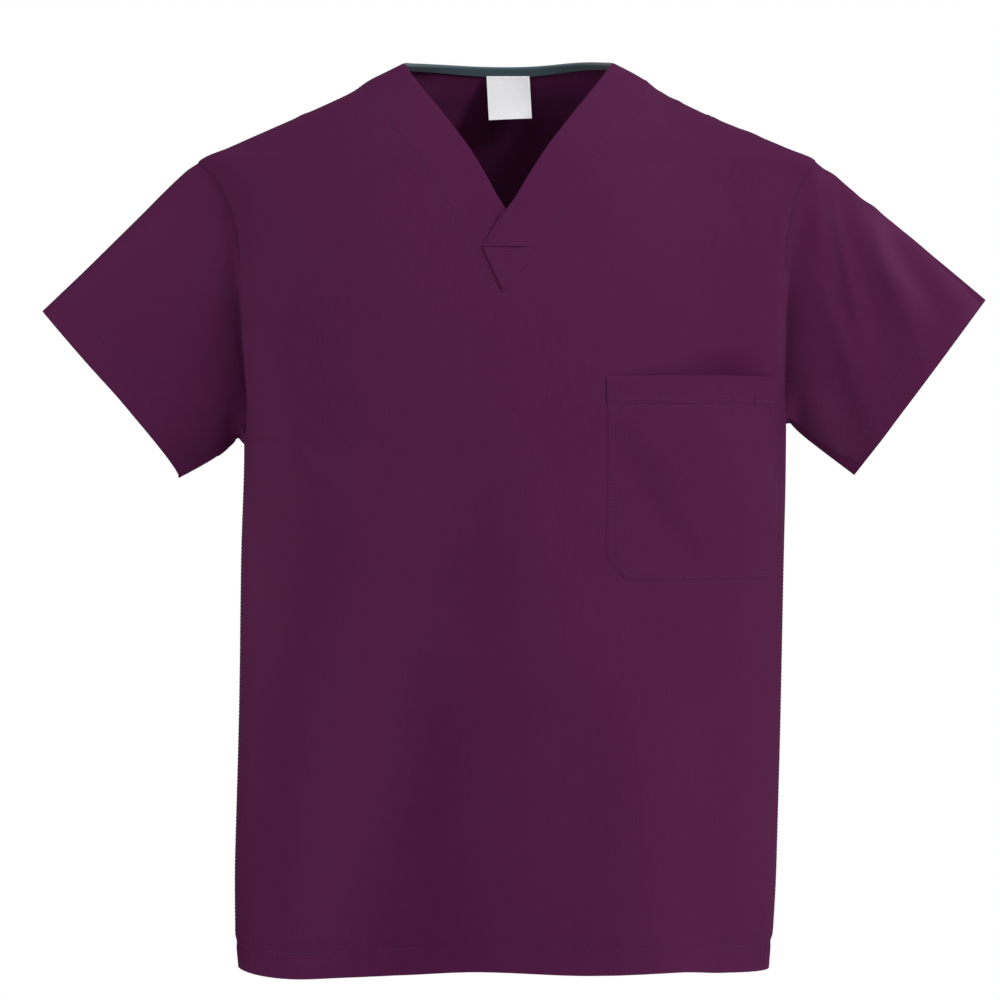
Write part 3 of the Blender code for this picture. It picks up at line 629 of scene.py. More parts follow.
def frontUpper(side):
    def place(across, up):
        share = across if side == leftSide else 1 - across
        rise = nearRidge(up)
        notch = neckCut["notch"]
        middle = angleAt(neckMiddle(notch), notch)
        edge = side * armholeAngle(side, notch)
        spots = bodyForm(middle + share * (edge - middle), notch)[..., 0]
        first, last = bodyForm(middle, notch)[0], bodyForm(edge, notch)[0]
        level = (spots - first) / (last - first)
        low = notch + rise * (seamTop - notch)
        end = armholePoint(side, notch + rise * (bodyCut["shoulderEnd"] - notch))
        start = neckSeam(side, low)
        along = (1 - rise) * level + rise * share
        x = start + along * (end[..., 0] - start)
        height = low + along * (end[..., 2] - low)
        angle = np.where(up == 1, side * quarterTurn, angleAt(x, height))
        angle = np.where(share == 1, side * armholeAngle(side, end[..., 2]), angle)
        return onBody(angle, height, armholeRoll(angle, height))[0]
    return place


def stripEdge(side, turn):
    # the back neck's edge and the width of the strip under it, a quarter turn to each side
    swell = bySide(neckCut["backSwell"], side)
    edge = neckCut["backRise"] * np.cos(turn * quarterTurn) ** 2 + swell * np.sin(math.pi * turn) ** 2
    width = neckCut["stripMiddle"] + (neckCut["stripEnd"] - neckCut["stripMiddle"]) * turn**2
    return edge, width


def backPlace(across, up, rows):
    # columns run from the wearer's left round the back to the right
    share = 1 - across * 2
    side = np.where(share < 0, -1, 1)
    share = np.abs(share)
    neckShare = panelGrid["neckColumns"] / panelGrid["halfColumns"]
    turn = np.clip(share / neckShare, 0, 1)
    beyond = np.clip((share - neckShare) / (1 - neckShare), 0, 1)
    lowCount = len(lowerRows) - 1
    row = up * rows
    height = np.interp(row, np.arange(lowCount + 1), lowerRows)
    neckPart = math.radians(panelGrid["neckPart"])
    flat = turn * neckPart + beyond * (armholeAngle(side, height) - neckPart)
    lowAngle = side * (math.pi - flat)
    height = np.where(row == 0, hemHeight(lowAngle), height)
    # above the notch's level
    rise = nearRidge(np.clip((row - lowCount) / (rows - lowCount), 0, 1))
    notch = neckCut["notch"]
    edge, width = stripEdge(side, turn)
    topAngle, topHeight = side * (math.pi - turn * quarterTurn), edge - width
    low = bodyForm(side * (math.pi - turn * neckPart), notch)
    top = bodyForm(topAngle, topHeight)
    neckX = low[..., 0] * (1 - rise) + top[..., 0] * rise
    neckZ = notch * (1 - rise) + topHeight * rise
    endHeight = notch + rise * (bodyCut["shoulderEnd"] - notch)
    endAngle, armNotch = armholeAngle(side, endHeight), armholeAngle(side, notch)
    end = bodyForm(side * endAngle, endHeight)
    spots = bodyForm(side * (neckPart + beyond * (armNotch - neckPart)), notch)[..., 0]
    first, last = bodyForm(side * neckPart, notch)[..., 0], bodyForm(side * armNotch, notch)[..., 0]
    level = (spots - first) / (last - first)
    along = (1 - rise) * level + rise * beyond
    x = neckX + along * (end[..., 0] - neckX)
    z = neckZ + along * (end[..., 2] - neckZ)
    upAngle = angleAt(x, z, True)
    upAngle = np.where(beyond == 1, side * (math.pi - endAngle), upAngle)
    lastRow = up == 1
    upAngle = np.where(lastRow, np.where(beyond > 0, side * quarterTurn, topAngle), upAngle)
    z = np.where(lastRow & (beyond == 0), topHeight, z)
    above = row > lowCount
    angle = np.where(above, upAngle, lowAngle)
    height = np.where(above, z, height)
    lift = np.where(above, armholeRoll(angle, height), sewnLift(angle, height))
    return onBody(angle, height, lift)[0]


def stripPlace(across, up):
    share = 1 - across * 2
    side = np.where(share < 0, -1, 1)
    turn = np.abs(share)
    edge, width = stripEdge(side, turn)
    return onBody(side * (math.pi - turn * quarterTurn), edge - width * (1 - up))[0]


def makePanels():
    half, upper = panelGrid["halfColumns"], panelGrid["upperRows"]
    lower = len(lowerRows) - 1
    rows = lower + upper
    front = sewPiece("front_panel_cloth", "front_panel", (
        (2 * half, lower, frontLower),
        (half, upper, frontUpper(leftSide)), (half, upper, frontUpper(rightSide)),
    ))
    back = sewPiece("back_panel_cloth", "back_panel", (
        (2 * half, rows, lambda across, up: backPlace(across, up, rows)),
        (2 * panelGrid["neckColumns"], 2, stripPlace),
    ))
    return front, back


frontPanel, backPanel = makePanels()
print("panels cut and hung")


# hem turnings, inside the panels

def makeHems():
    made = []
    for name, turn in (("front", 0.0), ("back", math.pi)):
        def place(across, up):
            angle = turn + (across * 2 - 1) * quarterTurn
            angle = np.where(angle > math.pi, angle - 2 * math.pi, angle)
            base = hemHeight(angle)
            height = base + up * (bodyCut["hem"] + bodyCut["hemTurning"] - base)
            return onBody(angle, height, sewnLift(angle, height) - seamLook["hemUnder"])[0]
        made.append(sewPiece(name + "_hem_turning", name + "_hem", ((124, 5, place),), wall=0.5))
    return made


hems = makeHems()


# neck bands, tab, tape and label

bandLook = {
    "wall": 1.2, "rows": 90, "columns": 16, "lapRise": 1.8, "roll": 0.6, "rollWidth": 2.2,
    "seamRise": 0.12, "seamLap": 0.8, "underLap": 0.3, "lapDip": 2.4, "dipWidth": 2.6, "dipReach": 22,
}
# row, height at the seam, height at the V's edge, how much of the lap's rise
bandRows = (
    (0, -192, -156, 1.0), (1, -156, -138, 1.0), (2, -137, -118, 1.0), (3, -118, -99, 0.5),
    (4, -100, -80, 0.0), (5, -83, -62, 0.0), (6, -67, -45, 0.0), (7, -53, -31, 0.0),
    (8, -42, -19, 0.0), (9, -32, -9, 0.0), (10, seamTop, 0.0, 0.0),
)


def bandPlace(side):
    # the left band starts where it laps over the right one
    rows = ((1, -156, -156, 1.0),) + bandRows[2:] if side == leftSide else bandRows

    def place(across, up):
        # share is 0 at the seam and 1 at the V's edge
        share = across if side == rightSide else 1 - across
        share = 0.5 * share + 0.5 * (0.5 - 0.5 * np.cos(math.pi * share))
        share = 1 - share * (1 + bandLook["seamLap"] / neckCut["bandWidth"])
        first = rows[0][0]
        k = first + nearRidge(up) * (10 - first)
        seam, edge, rise = (onCurve(rows, column, k) for column in (1, 2, 3))
        startX = neckSeam(side, seam)
        endX = neckEdge(side, edge)
        if side == rightSide:
            under = neckSeam(leftSide, edge) - bandLook["underLap"]
            endX = np.where(k < 1, under + (endX - under) * easeIn(k), endX)
        x = startX + share * (endX - startX)
        height = seam + share * (edge - seam)
        beside = (x - neckEdge(leftSide, height)) / bandLook["dipWidth"]
        climb = easeIn((height - neckCut["lapEnd"] - 2) / bandLook["dipReach"])
        dip = bandLook["lapDip"] * np.exp(-beside * beside) * climb
        angle = np.where(up == 1, side * quarterTurn, angleAt(x, height))
        lift = rise * bandLook["lapRise"] if side == leftSide else 0 * rise
        edgeRoll = rolledEdge((1 - share) * neckCut["bandWidth"], bandLook["roll"], bandLook["rollWidth"])
        lift = lift * easeIn(share * 3) + bandLook["seamRise"] - (dip if side == rightSide else 0)
        return onBody(angle, height, lift + edgeRoll)[0]
    return place


def makeBands():
    made = {}
    for side, name in sideNames.items():
        grid = (bandLook["columns"], bandLook["rows"], bandPlace(side), True)
        made[side] = sewPiece(name + "_v_band", name + "_neck_band", (grid,), wall=bandLook["wall"])
    return made


tabCut = {"gap": 0.15, "seamLap": 0.8, "rise": 1.55, "fall": 1.1, "roll": 0.35, "rollWidth": 0.9}


def tabPlace(across, up):
    cut, lapEnd, notch = tabCut, neckCut["lapEnd"], neckCut["notch"]
    height = notch + up * (lapEnd - cut["gap"] - notch)
    start = neckMiddle(notch) + up * (neckEdge(leftSide, lapEnd) - neckMiddle(notch))
    width = neckSeam(leftSide, height) + cut["seamLap"] - start
    lift = cut["rise"] - cut["fall"] * easeIn(across * 1.1)
    lift = lift + rolledEdge((1 - across) * width, cut["roll"], cut["rollWidth"])
    return onBody(angleAt(start + across * width, height), height, lift)[0]


tapeCut = {
    "columns": 120, "half": 1.7, "inside": 7.0, "shift": 0.3, "crown": 0.8,
    "endShare": 0.3, "endTaper": 0.14, "endSink": 1.2,
}


def tapePlace(across, up):
    # up runs from the outside's lower edge over the neck's edge and down inside
    cut, share = tapeCut, 1 - across * 2
    side = np.where(share < 0, -1, 1)
    turn = np.abs(share)
    edge, width = stripEdge(side, turn)
    angle = side * (math.pi - turn * quarterTurn)
    top, out = onBody(angle, edge)
    low, _ = onBody(angle, edge - width)
    rise = (top - low) / np.linalg.norm(top - low, axis=-1)[..., None]
    taper = cut["endShare"] + (1 - cut["endShare"]) * easeIn((1 - turn) / cut["endTaper"])
    half = cut["half"] * taper
    run = up * (width + np.maximum(width, cut["inside"]) + math.pi * half)
    down = np.where(run < width, width - run, np.clip(run - width - math.pi * half, 0, None))
    bend = np.clip((run - width) / half, 0, math.pi)
    offset = half * np.cos(bend) - cut["shift"]
    lift = half * np.sin(bend) * cut["crown"] - (1 - taper) * cut["endSink"]
    return top - rise * (down - lift)[..., None] + out * offset[..., None]


labelShape = {"right": -19.5, "left": 16.5, "top": -5.4, "bottom": -43, "depth": 69.2,
              "lean": 4.0, "curl": 4.0, "slip": 2.0, "tilt": 2.2, "twist": 0.3, "bow": 1.5}


def labelPlace(across, up):
    down = 1 - up
    shape = labelShape
    depth = shape["depth"] - shape["lean"] * down - shape["curl"] * down**3
    depth = depth + down * (shape["bow"] * (2 * across - 1) ** 2
                            + shape["twist"] * (across - 0.5) * (shape["left"] - shape["right"]))
    x = shape["right"] + across * (shape["left"] - shape["right"]) + shape["slip"] * down
    height = shape["top"] + down * (shape["bottom"] + shape["tilt"] * across - shape["top"])
    return np.stack([x, depth, height], axis=-1)


def makeNeckTrim():
    tab = sewPiece("neck_lap_tab", "neck_tab", ((12, 14, tabPlace),))
    tape = sewPiece("back_neck_twill_tape", "back_neck_tape", ((tapeCut["columns"], 16, tapePlace),),
                    twill)
    label = sewPiece("blank_neck_label", "neck_label", ((24, 24, labelPlace),), satin, 0.35)
    return tab, tape, label


bands = makeBands()
neckTab, neckTape, neckLabel = makeNeckTrim()
print("neck bands, tab, tape and label sewn on")


# chest pocket

pocketCut = {
    "sides": (17.4, 69.0), "corners": (21.4, 64.8),  # degrees round the body
    "top": -260, "band": -282, "corner": -405, "bottom": -424, "width": 190,
    "under": 0.2, "gape": 10.0, "lift": 0.45, "edge": 0.4, "edgeWidth": 2.5, "pucker": 0.95,
    "bandLap": 0.6, "bandRise": 0.6, "mouthRoll": 0.8, "step": 0.4, "stepWidth": 1.6,
}


def pocketOut(angle, height):
    cut = pocketCut
    degrees = np.degrees(angle)
    middle, half = sum(cut["sides"]) / 2, (cut["sides"][1] - cut["sides"][0]) / 2
    up = np.clip((height - cut["bottom"]) / (cut["top"] - cut["bottom"]), 0, 1)
    share = np.clip(1 - ((degrees - middle) / half) ** 2, 0, 1)
    return cut["under"] + cut["gape"] * up**1.5 * share**1.5


def pocketPucker(across, height):
    # the mouth band's stitching draws the cloth up in short waves, most towards the side
    cut = pocketCut
    run = across * cut["width"]
    wave = np.sin(run / 1.7 + 1.3 * np.sin(run / 11)) * (0.7 + 0.3 * np.sin(run / 5.3 + 1))
    near = np.exp(-((height - cut["band"] - 3) / 9) ** 2)
    return cut["pucker"] * wave * easeIn((across - 0.3) / 0.3) * near


def onPocket(across, angle, height, lift):
    lift = lift + pocketOut(angle, height) + pocketCut["lift"] + pocketPucker(across, height)
    return onBody(angle, height, lift)[0]


def pocketPlace(across, up):
    cut = pocketCut
    height = cut["bottom"] + up * (cut["band"] - cut["bottom"])
    corner = np.clip((cut["corner"] - height) / (cut["corner"] - cut["bottom"]), 0, 1)
    start, end = (side + corner * (low - side) for side, low in zip(cut["sides"], cut["corners"]))
    aside = np.minimum(across, 1 - across) * cut["width"]
    edge = rolledEdge(np.minimum(aside, height - cut["bottom"]), cut["edge"], cut["edgeWidth"])
    return onPocket(across, np.radians(start + across * (end - start)), height, edge)


def pocketBandPlace(across, up):
    cut = pocketCut
    low = cut["band"] - cut["bandLap"]
    height = low + up * (cut["top"] - low)
    angle = np.radians(cut["sides"][0] + across * (cut["sides"][1] - cut["sides"][0]))
    aside = np.minimum(across, 1 - across) * cut["width"]
    edge = rolledEdge(aside, cut["edge"], cut["edgeWidth"])
    edge = edge + rolledEdge(cut["top"] - height, cut["mouthRoll"], cut["edgeWidth"])
    step = rolledEdge(height - low, cut["step"], cut["stepWidth"])
    return onPocket(across, angle, height, edge + step + cut["bandRise"])


def makePocket():
    patch = sewPiece("chest_pocket_patch", "chest_pocket", ((110, 44, pocketPlace),))
    band = sewPiece("pocket_mouth_band", "pocket_band", ((110, 12, pocketBandPlace),), wall=1.7)
    return patch, band


pocket, pocketBand = makePocket()
print("pocket sewn on")


# sleeves

sleeveCut = {
    # top x z and low x z of the folded cuff, half depth, how far back, how far it dips in
    "cuffs": {rightSide: (-385, -205, -273, -342, 17, 4, 6.0),
              leftSide: (392, -195.5, 284, -339.5, 17, 4, 0.0)},
    "columns": 150, "rows": 47, "rowSpread": 1.3,  # rows close up by the armhole
    "turningAngle": 0.02, "turningUnder": 0.9,  # how far the seam's turning lies under the panels
    "hemStart": 0.87, "hemUnder": 0.8, "hemStitches": 0.86,
    "pressedTop": 0.45, "pressedLow": 1.0,  # how sharp the folded edges are
    "pinch": 0.85, "pinchWidth": 0.075, "pinchReach": 0.22,
    # rows of how far along, place round it (0 shoulder, 0.25 front, 0.5 armpit, 0.75 back),
    # half width and rise
    "folds": {
        rightSide: (
            ((0.0, 0.0, 0.03, 0), (0.07, 0.0, 0.03, 2.1), (0.16, 0.0, 0.03, 2.4), (0.32, 0.0, 0.03, 1.7),
             (0.5, 0.0, 0.03, 1.3), (0.75, 0.0, 0.03, 0.8), (1.0, 0.0, 0.03, 1.0)),
            ((0.1, 0.1, 0.03, 0), (0.5, 0.18, 0.045, -2.0), (1.0, 0.26, 0.05, -2.0)),
            ((0.2, 0.02, 0.03, 0), (0.5, 0.08, 0.035, 1.5), (1.0, 0.14, 0.05, 1.0)),
            ((0.0, 0.9, 0.04, 0), (0.5, 0.83, 0.045, 3.0), (1.0, 0.76, 0.05, 2.0)),
            ((0.1, 0.8, 0.03, 0), (0.5, 0.72, 0.035, -2.5), (1.0, 0.66, 0.05, -1.0)),
        ),
        leftSide: (
            ((0.05, 0.0, 0.02, 0), (0.15, 0.03, 0.022, 3.0), (0.3, 0.1, 0.025, 3.6),
             (0.42, 0.165, 0.03, 2.5), (0.6, 0.24, 0.035, 0)),
            ((0.2, 0.05, 0.02, 0), (0.35, 0.09, 0.022, -2.0), (0.5, 0.155, 0.03, -1.8),
             (0.75, 0.24, 0.04, -1.0), (0.9, 0.3, 0.04, 0)),
            ((0.25, -0.03, 0.02, 0), (0.4, 0.03, 0.024, 3.2), (0.55, 0.085, 0.03, 4.0),
             (0.72, 0.13, 0.034, 3.0), (0.88, 0.18, 0.035, 1.5), (1.0, 0.22, 0.04, 0)),
            ((0.45, 0.0, 0.02, 0), (0.65, 0.045, 0.03, -2.0), (0.85, 0.08, 0.035, -1.6),
             (1.0, 0.1, 0.04, -0.5)),
            ((0.05, 0.0, 0.02, 0), (0.2, 0.0, 0.02, 1.1), (0.34, 0.0, 0.022, 0.2), (0.44, 0.0, 0.024, 1.5),
             (0.54, 0.0, 0.028, 2.2), (0.7, 0.0, 0.03, 1.3), (0.85, 0.0, 0.03, 1.0), (1.0, 0.0, 0.03, 0.6)),
            ((0.1, 0.16, 0.03, 0), (0.35, 0.24, 0.035, 1.6), (0.7, 0.34, 0.045, 2.2),
             (1.0, 0.4, 0.05, 1.5)),
            ((0.05, 0.93, 0.03, 0), (0.5, 0.87, 0.04, 2.5), (1.0, 0.8, 0.05, 2.0)),
            ((0.1, 0.84, 0.03, 0), (0.5, 0.78, 0.035, -2.5), (1.0, 0.7, 0.05, -1.0)),
        ),
    },
    # place round it, half width, how far the cloth drops in beside the armhole, and how far
    # along it takes to come back
    "hollows": {
        rightSide: ((0.37, 0.155, 18.0, 0.20), (0.70, 0.15, 9.0, 0.18)),
        leftSide: ((0.36, 0.13, 11.5, 0.13), (0.70, 0.15, 9.0, 0.18)),
    },
}


def runOf(points):
    return np.append(0, np.cumsum(np.linalg.norm(np.diff(points, axis=0), axis=1)))


def pointsAt(spots, run, points):
    return np.stack([np.interp(spots, run, points[:, k]) for k in range(3)], axis=-1)


def armholeRing(side, shares, tucked=0.0, under=0.2):
    # points round the panels' own edge, from the shoulder by the front to the armpit and up
    # the back, or round a line as far inside it as tucked says
    lower = lowerRows[lowerRows >= bodyCut["armpit"][side] - 0.01]
    rise = nearRidge(np.linspace(0, 1, panelGrid["upperRows"] + 1)[1:])
    upper = neckCut["notch"] + rise * (bodyCut["shoulderEnd"] - neckCut["notch"])
    heights = np.concatenate([lower, upper])
    angles = armholeAngle(side, heights) - tucked
    front, back = (
        onBody(side * turn, heights, armholeRoll(side * turn, heights) - under)[0]
        for turn in (angles, math.pi - angles)
    )
    points = np.concatenate([front[::-1], back[1:]])
    run = runOf(points)
    low = len(heights) - 1
    return pointsAt(shares, np.interp(run, [0, run[low], run[-1]], [0, 0.5, 1]), points)


def cuffBulge(turn):
    low = 0.5 - 0.5 * np.cos(turn)
    pressed = sleeveCut["pressedTop"] + low * (sleeveCut["pressedLow"] - sleeveCut["pressedTop"])
    return np.sin(turn) * np.abs(np.sin(turn)) ** pressed


def cuffLoop(side, shares):
    topX, topZ, lowX, lowZ, halfDepth, back, dip = sleeveCut["cuffs"][side]
    ends = np.array([[topX, topZ], [lowX, lowZ]], dtype=float)
    middle, reach = ends.mean(axis=0), (ends[0] - ends[1]) / 2
    length = np.linalg.norm(reach)
    inward = np.array([-side * reach[1], side * reach[0]]) / length
    turns = np.linspace(0, 2 * math.pi, 721)
    oval = np.array([length * np.cos(turns), halfDepth * cuffBulge(turns)])
    run = runOf(oval.T)
    turn = np.interp(np.asarray(shares) * run[-1], run, turns)
    dips = dip * np.sin(turn / 2) ** 2 * np.abs(np.sin(turn))
    flat = middle + reach * np.cos(turn)[:, None] + inward * dips[:, None]
    return np.stack([flat[:, 0], back - halfDepth * cuffBulge(turn), flat[:, 1]], axis=-1)


def sleeveNormals(points):
    ring = points[:, :-1]
    around = np.roll(ring, -1, axis=1) - np.roll(ring, 1, axis=1)
    normal = np.cross(around, np.gradient(ring, axis=0))
    normal /= np.maximum(np.linalg.norm(normal, axis=2), 1e-9)[..., None]
    outward = ring - ring.mean(axis=1)[:, None, :]
    normal *= np.sign((normal * outward).sum())
    return np.concatenate([normal, normal[:, :1]], axis=1)


def sleevePlace(side, inset=0.0, first=0.0):
    cut = sleeveCut

    def place(across, up):
        shares = across[0] if side == rightSide else 1 - across[0]
        start, cuff = armholeRing(side, shares), cuffLoop(side, shares)
        up = up[:, 0] if first else np.maximum((up[:, 0] - up[1, 0]) / (1 - up[1, 0]), 0)
        s = (first + up ** cut["rowSpread"] * (1 - first))[:, None]
        points = start[None] + (cuff - start)[None] * s[..., None]
        if not first:  # the first row is the seam's turning, under the panels
            points[0] = armholeRing(side, shares, cut["turningAngle"], cut["turningUnder"])
        near = np.exp(-((shares - 0.5) / cut["pinchWidth"]) ** 2) * easeIn(s / cut["pinchReach"])
        points[..., 1] += (cuff[:, 1] - points[..., 1]) * near * cut["pinch"]
        normal = sleeveNormals(points)
        lift = np.zeros(points.shape[:2]) - inset
        for rows in cut["folds"][side]:
            there = np.clip(s, rows[0][0], rows[-1][0])
            spot, width, rise = (onCurve(rows, k, there) for k in (1, 2, 3))
            off = ((shares - spot + 0.5) % 1 - 0.5) / width
            lift += rise * np.exp(-off * off)
        for spot, width, depth, reach in cut["hollows"][side]:
            off = ((shares - spot + 0.5) % 1 - 0.5) / width
            lift -= depth * np.exp(-off**4) * easeIn(s / 0.05) * np.exp(-s / reach)
        return points + normal * lift[..., None]
    return place


def makeSleeves():
    cut, made = sleeveCut, {}
    for side, name in sideNames.items():
        sleeve = (cut["columns"], cut["rows"], sleevePlace(side), True)
        hem = (cut["columns"], 4, sleevePlace(side, cut["hemUnder"], cut["hemStart"]), True)
        made[side] = (
            sewPiece(name + "_sleeve_cloth", name + "_sleeve", (sleeve,)),
            sewPiece(name + "_sleeve_hem_turning", name + "_sleeve_hem", (hem,), wall=0.5),
        )
    return made


sleeves = makeSleeves()
print("sleeves set in")


# stitches, as short threads that lie in a row along each seam

stitchLook = {
    "length": 2.1, "pitch": 3.0, "thickness": 0.42, "proud": 0.12,
    "besideSeam": 0.045,  # radians round the body
}


def addStitchLine(bm, points, normals):
    look, run = stitchLook, runOf(points)
    spots = np.arange(look["pitch"] / 2, run[-1], look["pitch"])
    middles, ends = pointsAt(spots, run, points), pointsAt(spots + 0.5, run, points)
    half, thin = look["length"] / 2 * mm, look["thickness"] / 2 * mm
    for middle, end, out in zip(middles, ends, pointsAt(spots, run, normals)):
        along, up = Vector(end - middle).normalized(), Vector(out).normalized()
        across = along.cross(up).normalized()
        turn = Matrix((along, across, across.cross(along))).transposed().to_4x4()
        place = Matrix.Translation(Vector(middle) * mm) @ turn @ Matrix.Diagonal((half, thin, thin, 1))
        bmesh.ops.create_icosphere(bm, subdivisions=1, radius=1.0, matrix=place)


def addStitches(bm, angle, height, out):
    # a row of stitches on the body's form, along the line that angle and height give
    addStitchLine(bm, *onBody(angle, height, out + stitchLook["proud"]))


def finishStitches(bm, name, material=None):
    piece = meshPiece(bm, name, material or thread)
    piece.data.shade_smooth()
    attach(piece, "root")
    return piece


def makeBodyStitches():
    beside = stitchLook["besideSeam"]
    bm = bmesh.new()
    for turn in (0.0, math.pi):  # hem, front and back
        angle = turn + np.linspace(-1, 1, 260) * quarterTurn * 0.985
        angle = np.where(angle > math.pi, angle - 2 * math.pi, angle)
        height = hemHeight(angle) + seamLook["hemLine"]
        addStitches(bm, angle, height, sewnLift(angle, height))
    hem = finishStitches(bm, "hem_stitches")
    bm = bmesh.new()
    for side in (rightSide, leftSide):
        armpit, top, notch = bodyCut["armpit"][side], bodyCut["shoulderEnd"], neckCut["notch"]
        height = np.linspace(bodyCut["hem"] + bodyCut["hemTurning"], armpit - 4, 160)  # side seams
        addStitches(bm, np.full(160, side * quarterTurn * 1.02), height, 0.0)
        rise = nearRidge(np.linspace(0, 0.96, 40)[1:])
        height = np.concatenate([lowerRows[lowerRows > armpit + 6], notch + rise * (top - notch)])
        armhole = armholeAngle(side, height)
        for angle in (armhole - beside, math.pi - armhole + beside):
            addStitches(bm, side * angle, height, armholeRoll(side * angle, height))
        height = np.linspace(seamTop + 4, top + 2, 60)  # shoulder seams, on the back
        addStitches(bm, np.full(60, side * (quarterTurn + beside)), height, 0.2)
    return hem, finishStitches(bm, "side_armhole_and_shoulder_stitches")


def makeNeckStitches():
    bm = bmesh.new()
    for side in (rightSide, leftSide):
        k = 10 * nearRidge(np.linspace(0 if side == rightSide else 0.06, 0.97, 120))
        seam = onCurve(bandRows, 1, k)
        x = neckSeam(side, seam) + side * 2.2  # on the panel, beside the band's seam
        addStitches(bm, angleAt(x, seam), seam, 0.0)
    tab = np.linspace(0.06, 0.92, 20)
    lapEnd, notch = neckCut["lapEnd"], neckCut["notch"]
    x = neckEdge(leftSide, lapEnd) + tab * (neckMiddle(notch) - neckEdge(leftSide, lapEnd)) + 2.4
    height = lapEnd + tab * (notch - lapEnd)
    addStitches(bm, angleAt(x, height), height, 1.7)
    x = np.linspace(neckEdge(leftSide, lapEnd) + 2.5, neckSeam(leftSide, lapEnd) - 1, 20)
    addStitches(bm, angleAt(x, lapEnd - 2.4), np.full(20, lapEnd - 2.4), 1.3 - np.linspace(0, 1, 20))
    return finishStitches(bm, "neck_stitches")


def makePocketStitches():
    cut = pocketCut
    bm = bmesh.new()
    inset = 1.1  # degrees in from the pocket's edge
    start, end = cut["sides"][0] + inset, cut["sides"][1] - inset
    low, high = cut["corners"][0] + inset * 0.6, cut["corners"][1] - inset * 0.6
    foot, onBand = cut["bottom"] + 2.4, cut["lift"] + cut["bandRise"]
    degrees = np.concatenate([
        np.full(50, start), np.linspace(start, low, 12)[1:], np.linspace(low, high, 80)[1:],
        np.linspace(high, end, 12)[1:], np.full(50, end)[1:],
    ])
    side = np.linspace(cut["band"], cut["corner"] + 1, 50)
    corner = np.linspace(cut["corner"] + 1, foot, 12)
    height = np.concatenate([side, corner[1:], np.full(79, foot), corner[::-1][1:], side[::-1][1:]])
    angle = np.radians(degrees)
    addStitches(bm, angle, height, pocketOut(angle, height) + cut["lift"])
    across = np.linspace(0.01, 0.99, 200)
    angle = np.radians(cut["sides"][0] + across * (cut["sides"][1] - cut["sides"][0]))
    height = np.full(200, cut["band"] + 2.2)
    addStitches(bm, angle, height, pocketOut(angle, height) + onBand + pocketPucker(across, height))
    for degree in (start, end):
        height = np.linspace(cut["band"] + 1, cut["top"] - 2, 10)
        angle = np.radians(np.full(10, degree))
        addStitches(bm, angle, height, pocketOut(angle, height) + onBand)
    return finishStitches(bm, "pocket_stitches")


def makeSleeveStitches():
    rows, made = 60, {}
    across, up = np.meshgrid(np.linspace(0, 1, 151), np.linspace(0, 1, rows + 1))
    row = int(round(rows * sleeveCut["hemStitches"] ** (1 / sleeveCut["rowSpread"])))
    for side, name in sideNames.items():
        points = sleevePlace(side)(across, up)
        normal = sleeveNormals(points)
        bm = bmesh.new()
        addStitchLine(bm, points[row] + normal[row] * stitchLook["proud"], normal[row])
        made[side] = finishStitches(bm, name + "_sleeve_hem_stitches")
    return made


def makeLabelStitches():
    shape = labelShape
    depth, height = shape["depth"] - 1.1, shape["top"] - 1.8
    ends = (shape["right"] + 1.5, depth, height), (shape["left"] - 1.5, depth, height)
    bm = bmesh.new()
    addStitchLine(bm, np.linspace(*ends, 16), np.tile((0.0, -1.0, 0.0), (16, 1)))
    return finishStitches(bm, "label_stitches", satin)


hemStitches, seamStitches = makeBodyStitches()
neckStitches, pocketStitches, sleeveStitches = makeNeckStitches(), makePocketStitches(), makeSleeveStitches()
labelStitches = makeLabelStitches()
stitchPieces = (hemStitches, seamStitches, neckStitches, pocketStitches, labelStitches)
stitchPieces += tuple(sleeveStitches.values())
# every stitch is a ball of 12 vertices
print("stitches sewn:", sum(len(piece.data.vertices) for piece in stitchPieces) // 12)


# floor, light and camera

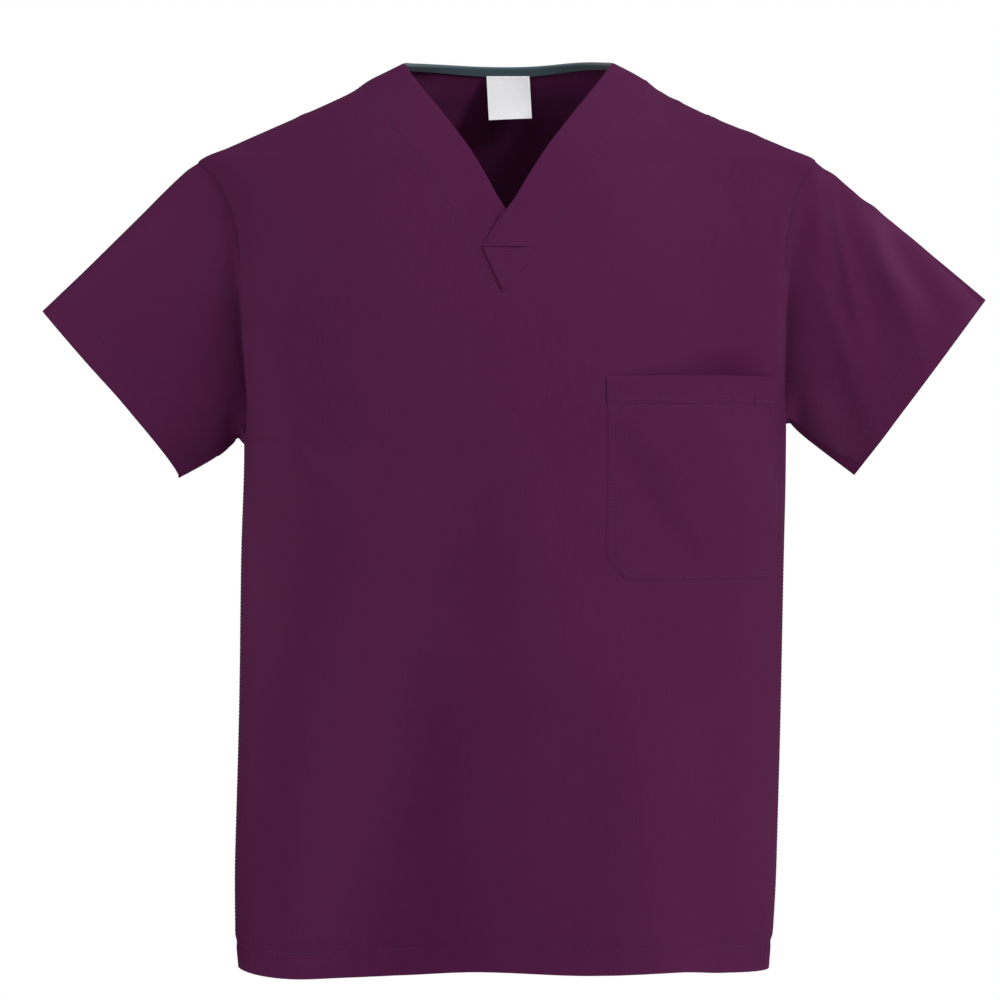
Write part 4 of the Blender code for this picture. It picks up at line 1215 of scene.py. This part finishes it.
roomLook = {
    "floorHeight": -1.05, "floorSize": 5.0, "floorColour": "#ececea", "backdrop": 1.0, "skyFill": 0.62,
    # name, watts, diameter, place, where it aims
    "lights": (
        ("key softbox", 88, 1.1, (2.7, -2.0, 2.0), (0, 0, -0.35)),
        ("left fill card", 22, 1.6, (-3.2, -1.4, 0.4), (0, 0, -0.35)),
    ),
    # millimetres that the picture spans at the origin, and how far off the camera stands
    "pictureWidth": 824, "cameraDistance": 4500, "cameraPlace": (-0.0082, -4.5, -0.36),
}


def makeFloor():
    bm = bmesh.new()
    bmesh.ops.create_grid(bm, x_segments=8, y_segments=8, size=roomLook["floorSize"] / 2)
    bmesh.ops.translate(bm, vec=Vector((0, 0, roomLook["floorHeight"])), verts=bm.verts)
    paint = startMaterial("Pale painted studio floor", {
        "Base Color": linearColour(roomLook["floorColour"]), "Roughness": 0.9,
    })[0]
    meshPiece(bm, "studio_floor", paint)


def addLight(name, power, size, place, aim):
    light = bpy.data.lights.new(name, "AREA")
    light.energy, light.shape, light.size = power, "DISK", size
    lamp = bpy.data.objects.new(name, light)
    bpy.context.scene.collection.objects.link(lamp)
    lamp.location = place
    lamp.rotation_euler = (Vector(aim) - Vector(place)).to_track_quat("-Z", "Y").to_euler()


def makeStudio():
    scene = bpy.context.scene
    scene.view_settings.view_transform = "Standard"
    world = bpy.data.worlds.new("white studio")
    scene.world = world
    world.use_nodes = True
    tree = world.node_tree
    seen = tree.nodes["Background"]
    seen.inputs["Color"].default_value = (1, 1, 1, 1)
    seen.inputs["Strength"].default_value = roomLook["backdrop"]
    fill = addNode(tree, "Background", {"Color": (1, 1, 1, 1), "Strength": roomLook["skyFill"]})
    sight = addNode(tree, "LightPath")
    both = addNode(tree, "MixShader", {
        0: sight.outputs["Is Camera Ray"], 1: fill.outputs[0], 2: seen.outputs[0],
    })
    tree.links.new(both.outputs[0], tree.nodes["World Output"].inputs["Surface"])
    for name, power, size, place, aim in roomLook["lights"]:
        addLight(name, power, size, place, aim)
    lens = bpy.data.cameras.new("studio camera")
    lens.sensor_width = 36
    lens.lens = 36 * roomLook["cameraDistance"] / roomLook["pictureWidth"]
    camera = bpy.data.objects.new("studio camera", lens)
    camera.location = roomLook["cameraPlace"]
    camera.rotation_euler = (quarterTurn, 0, 0)
    scene.collection.objects.link(camera)
    scene.camera = camera


makeFloor()
makeStudio()
print("studio lit")
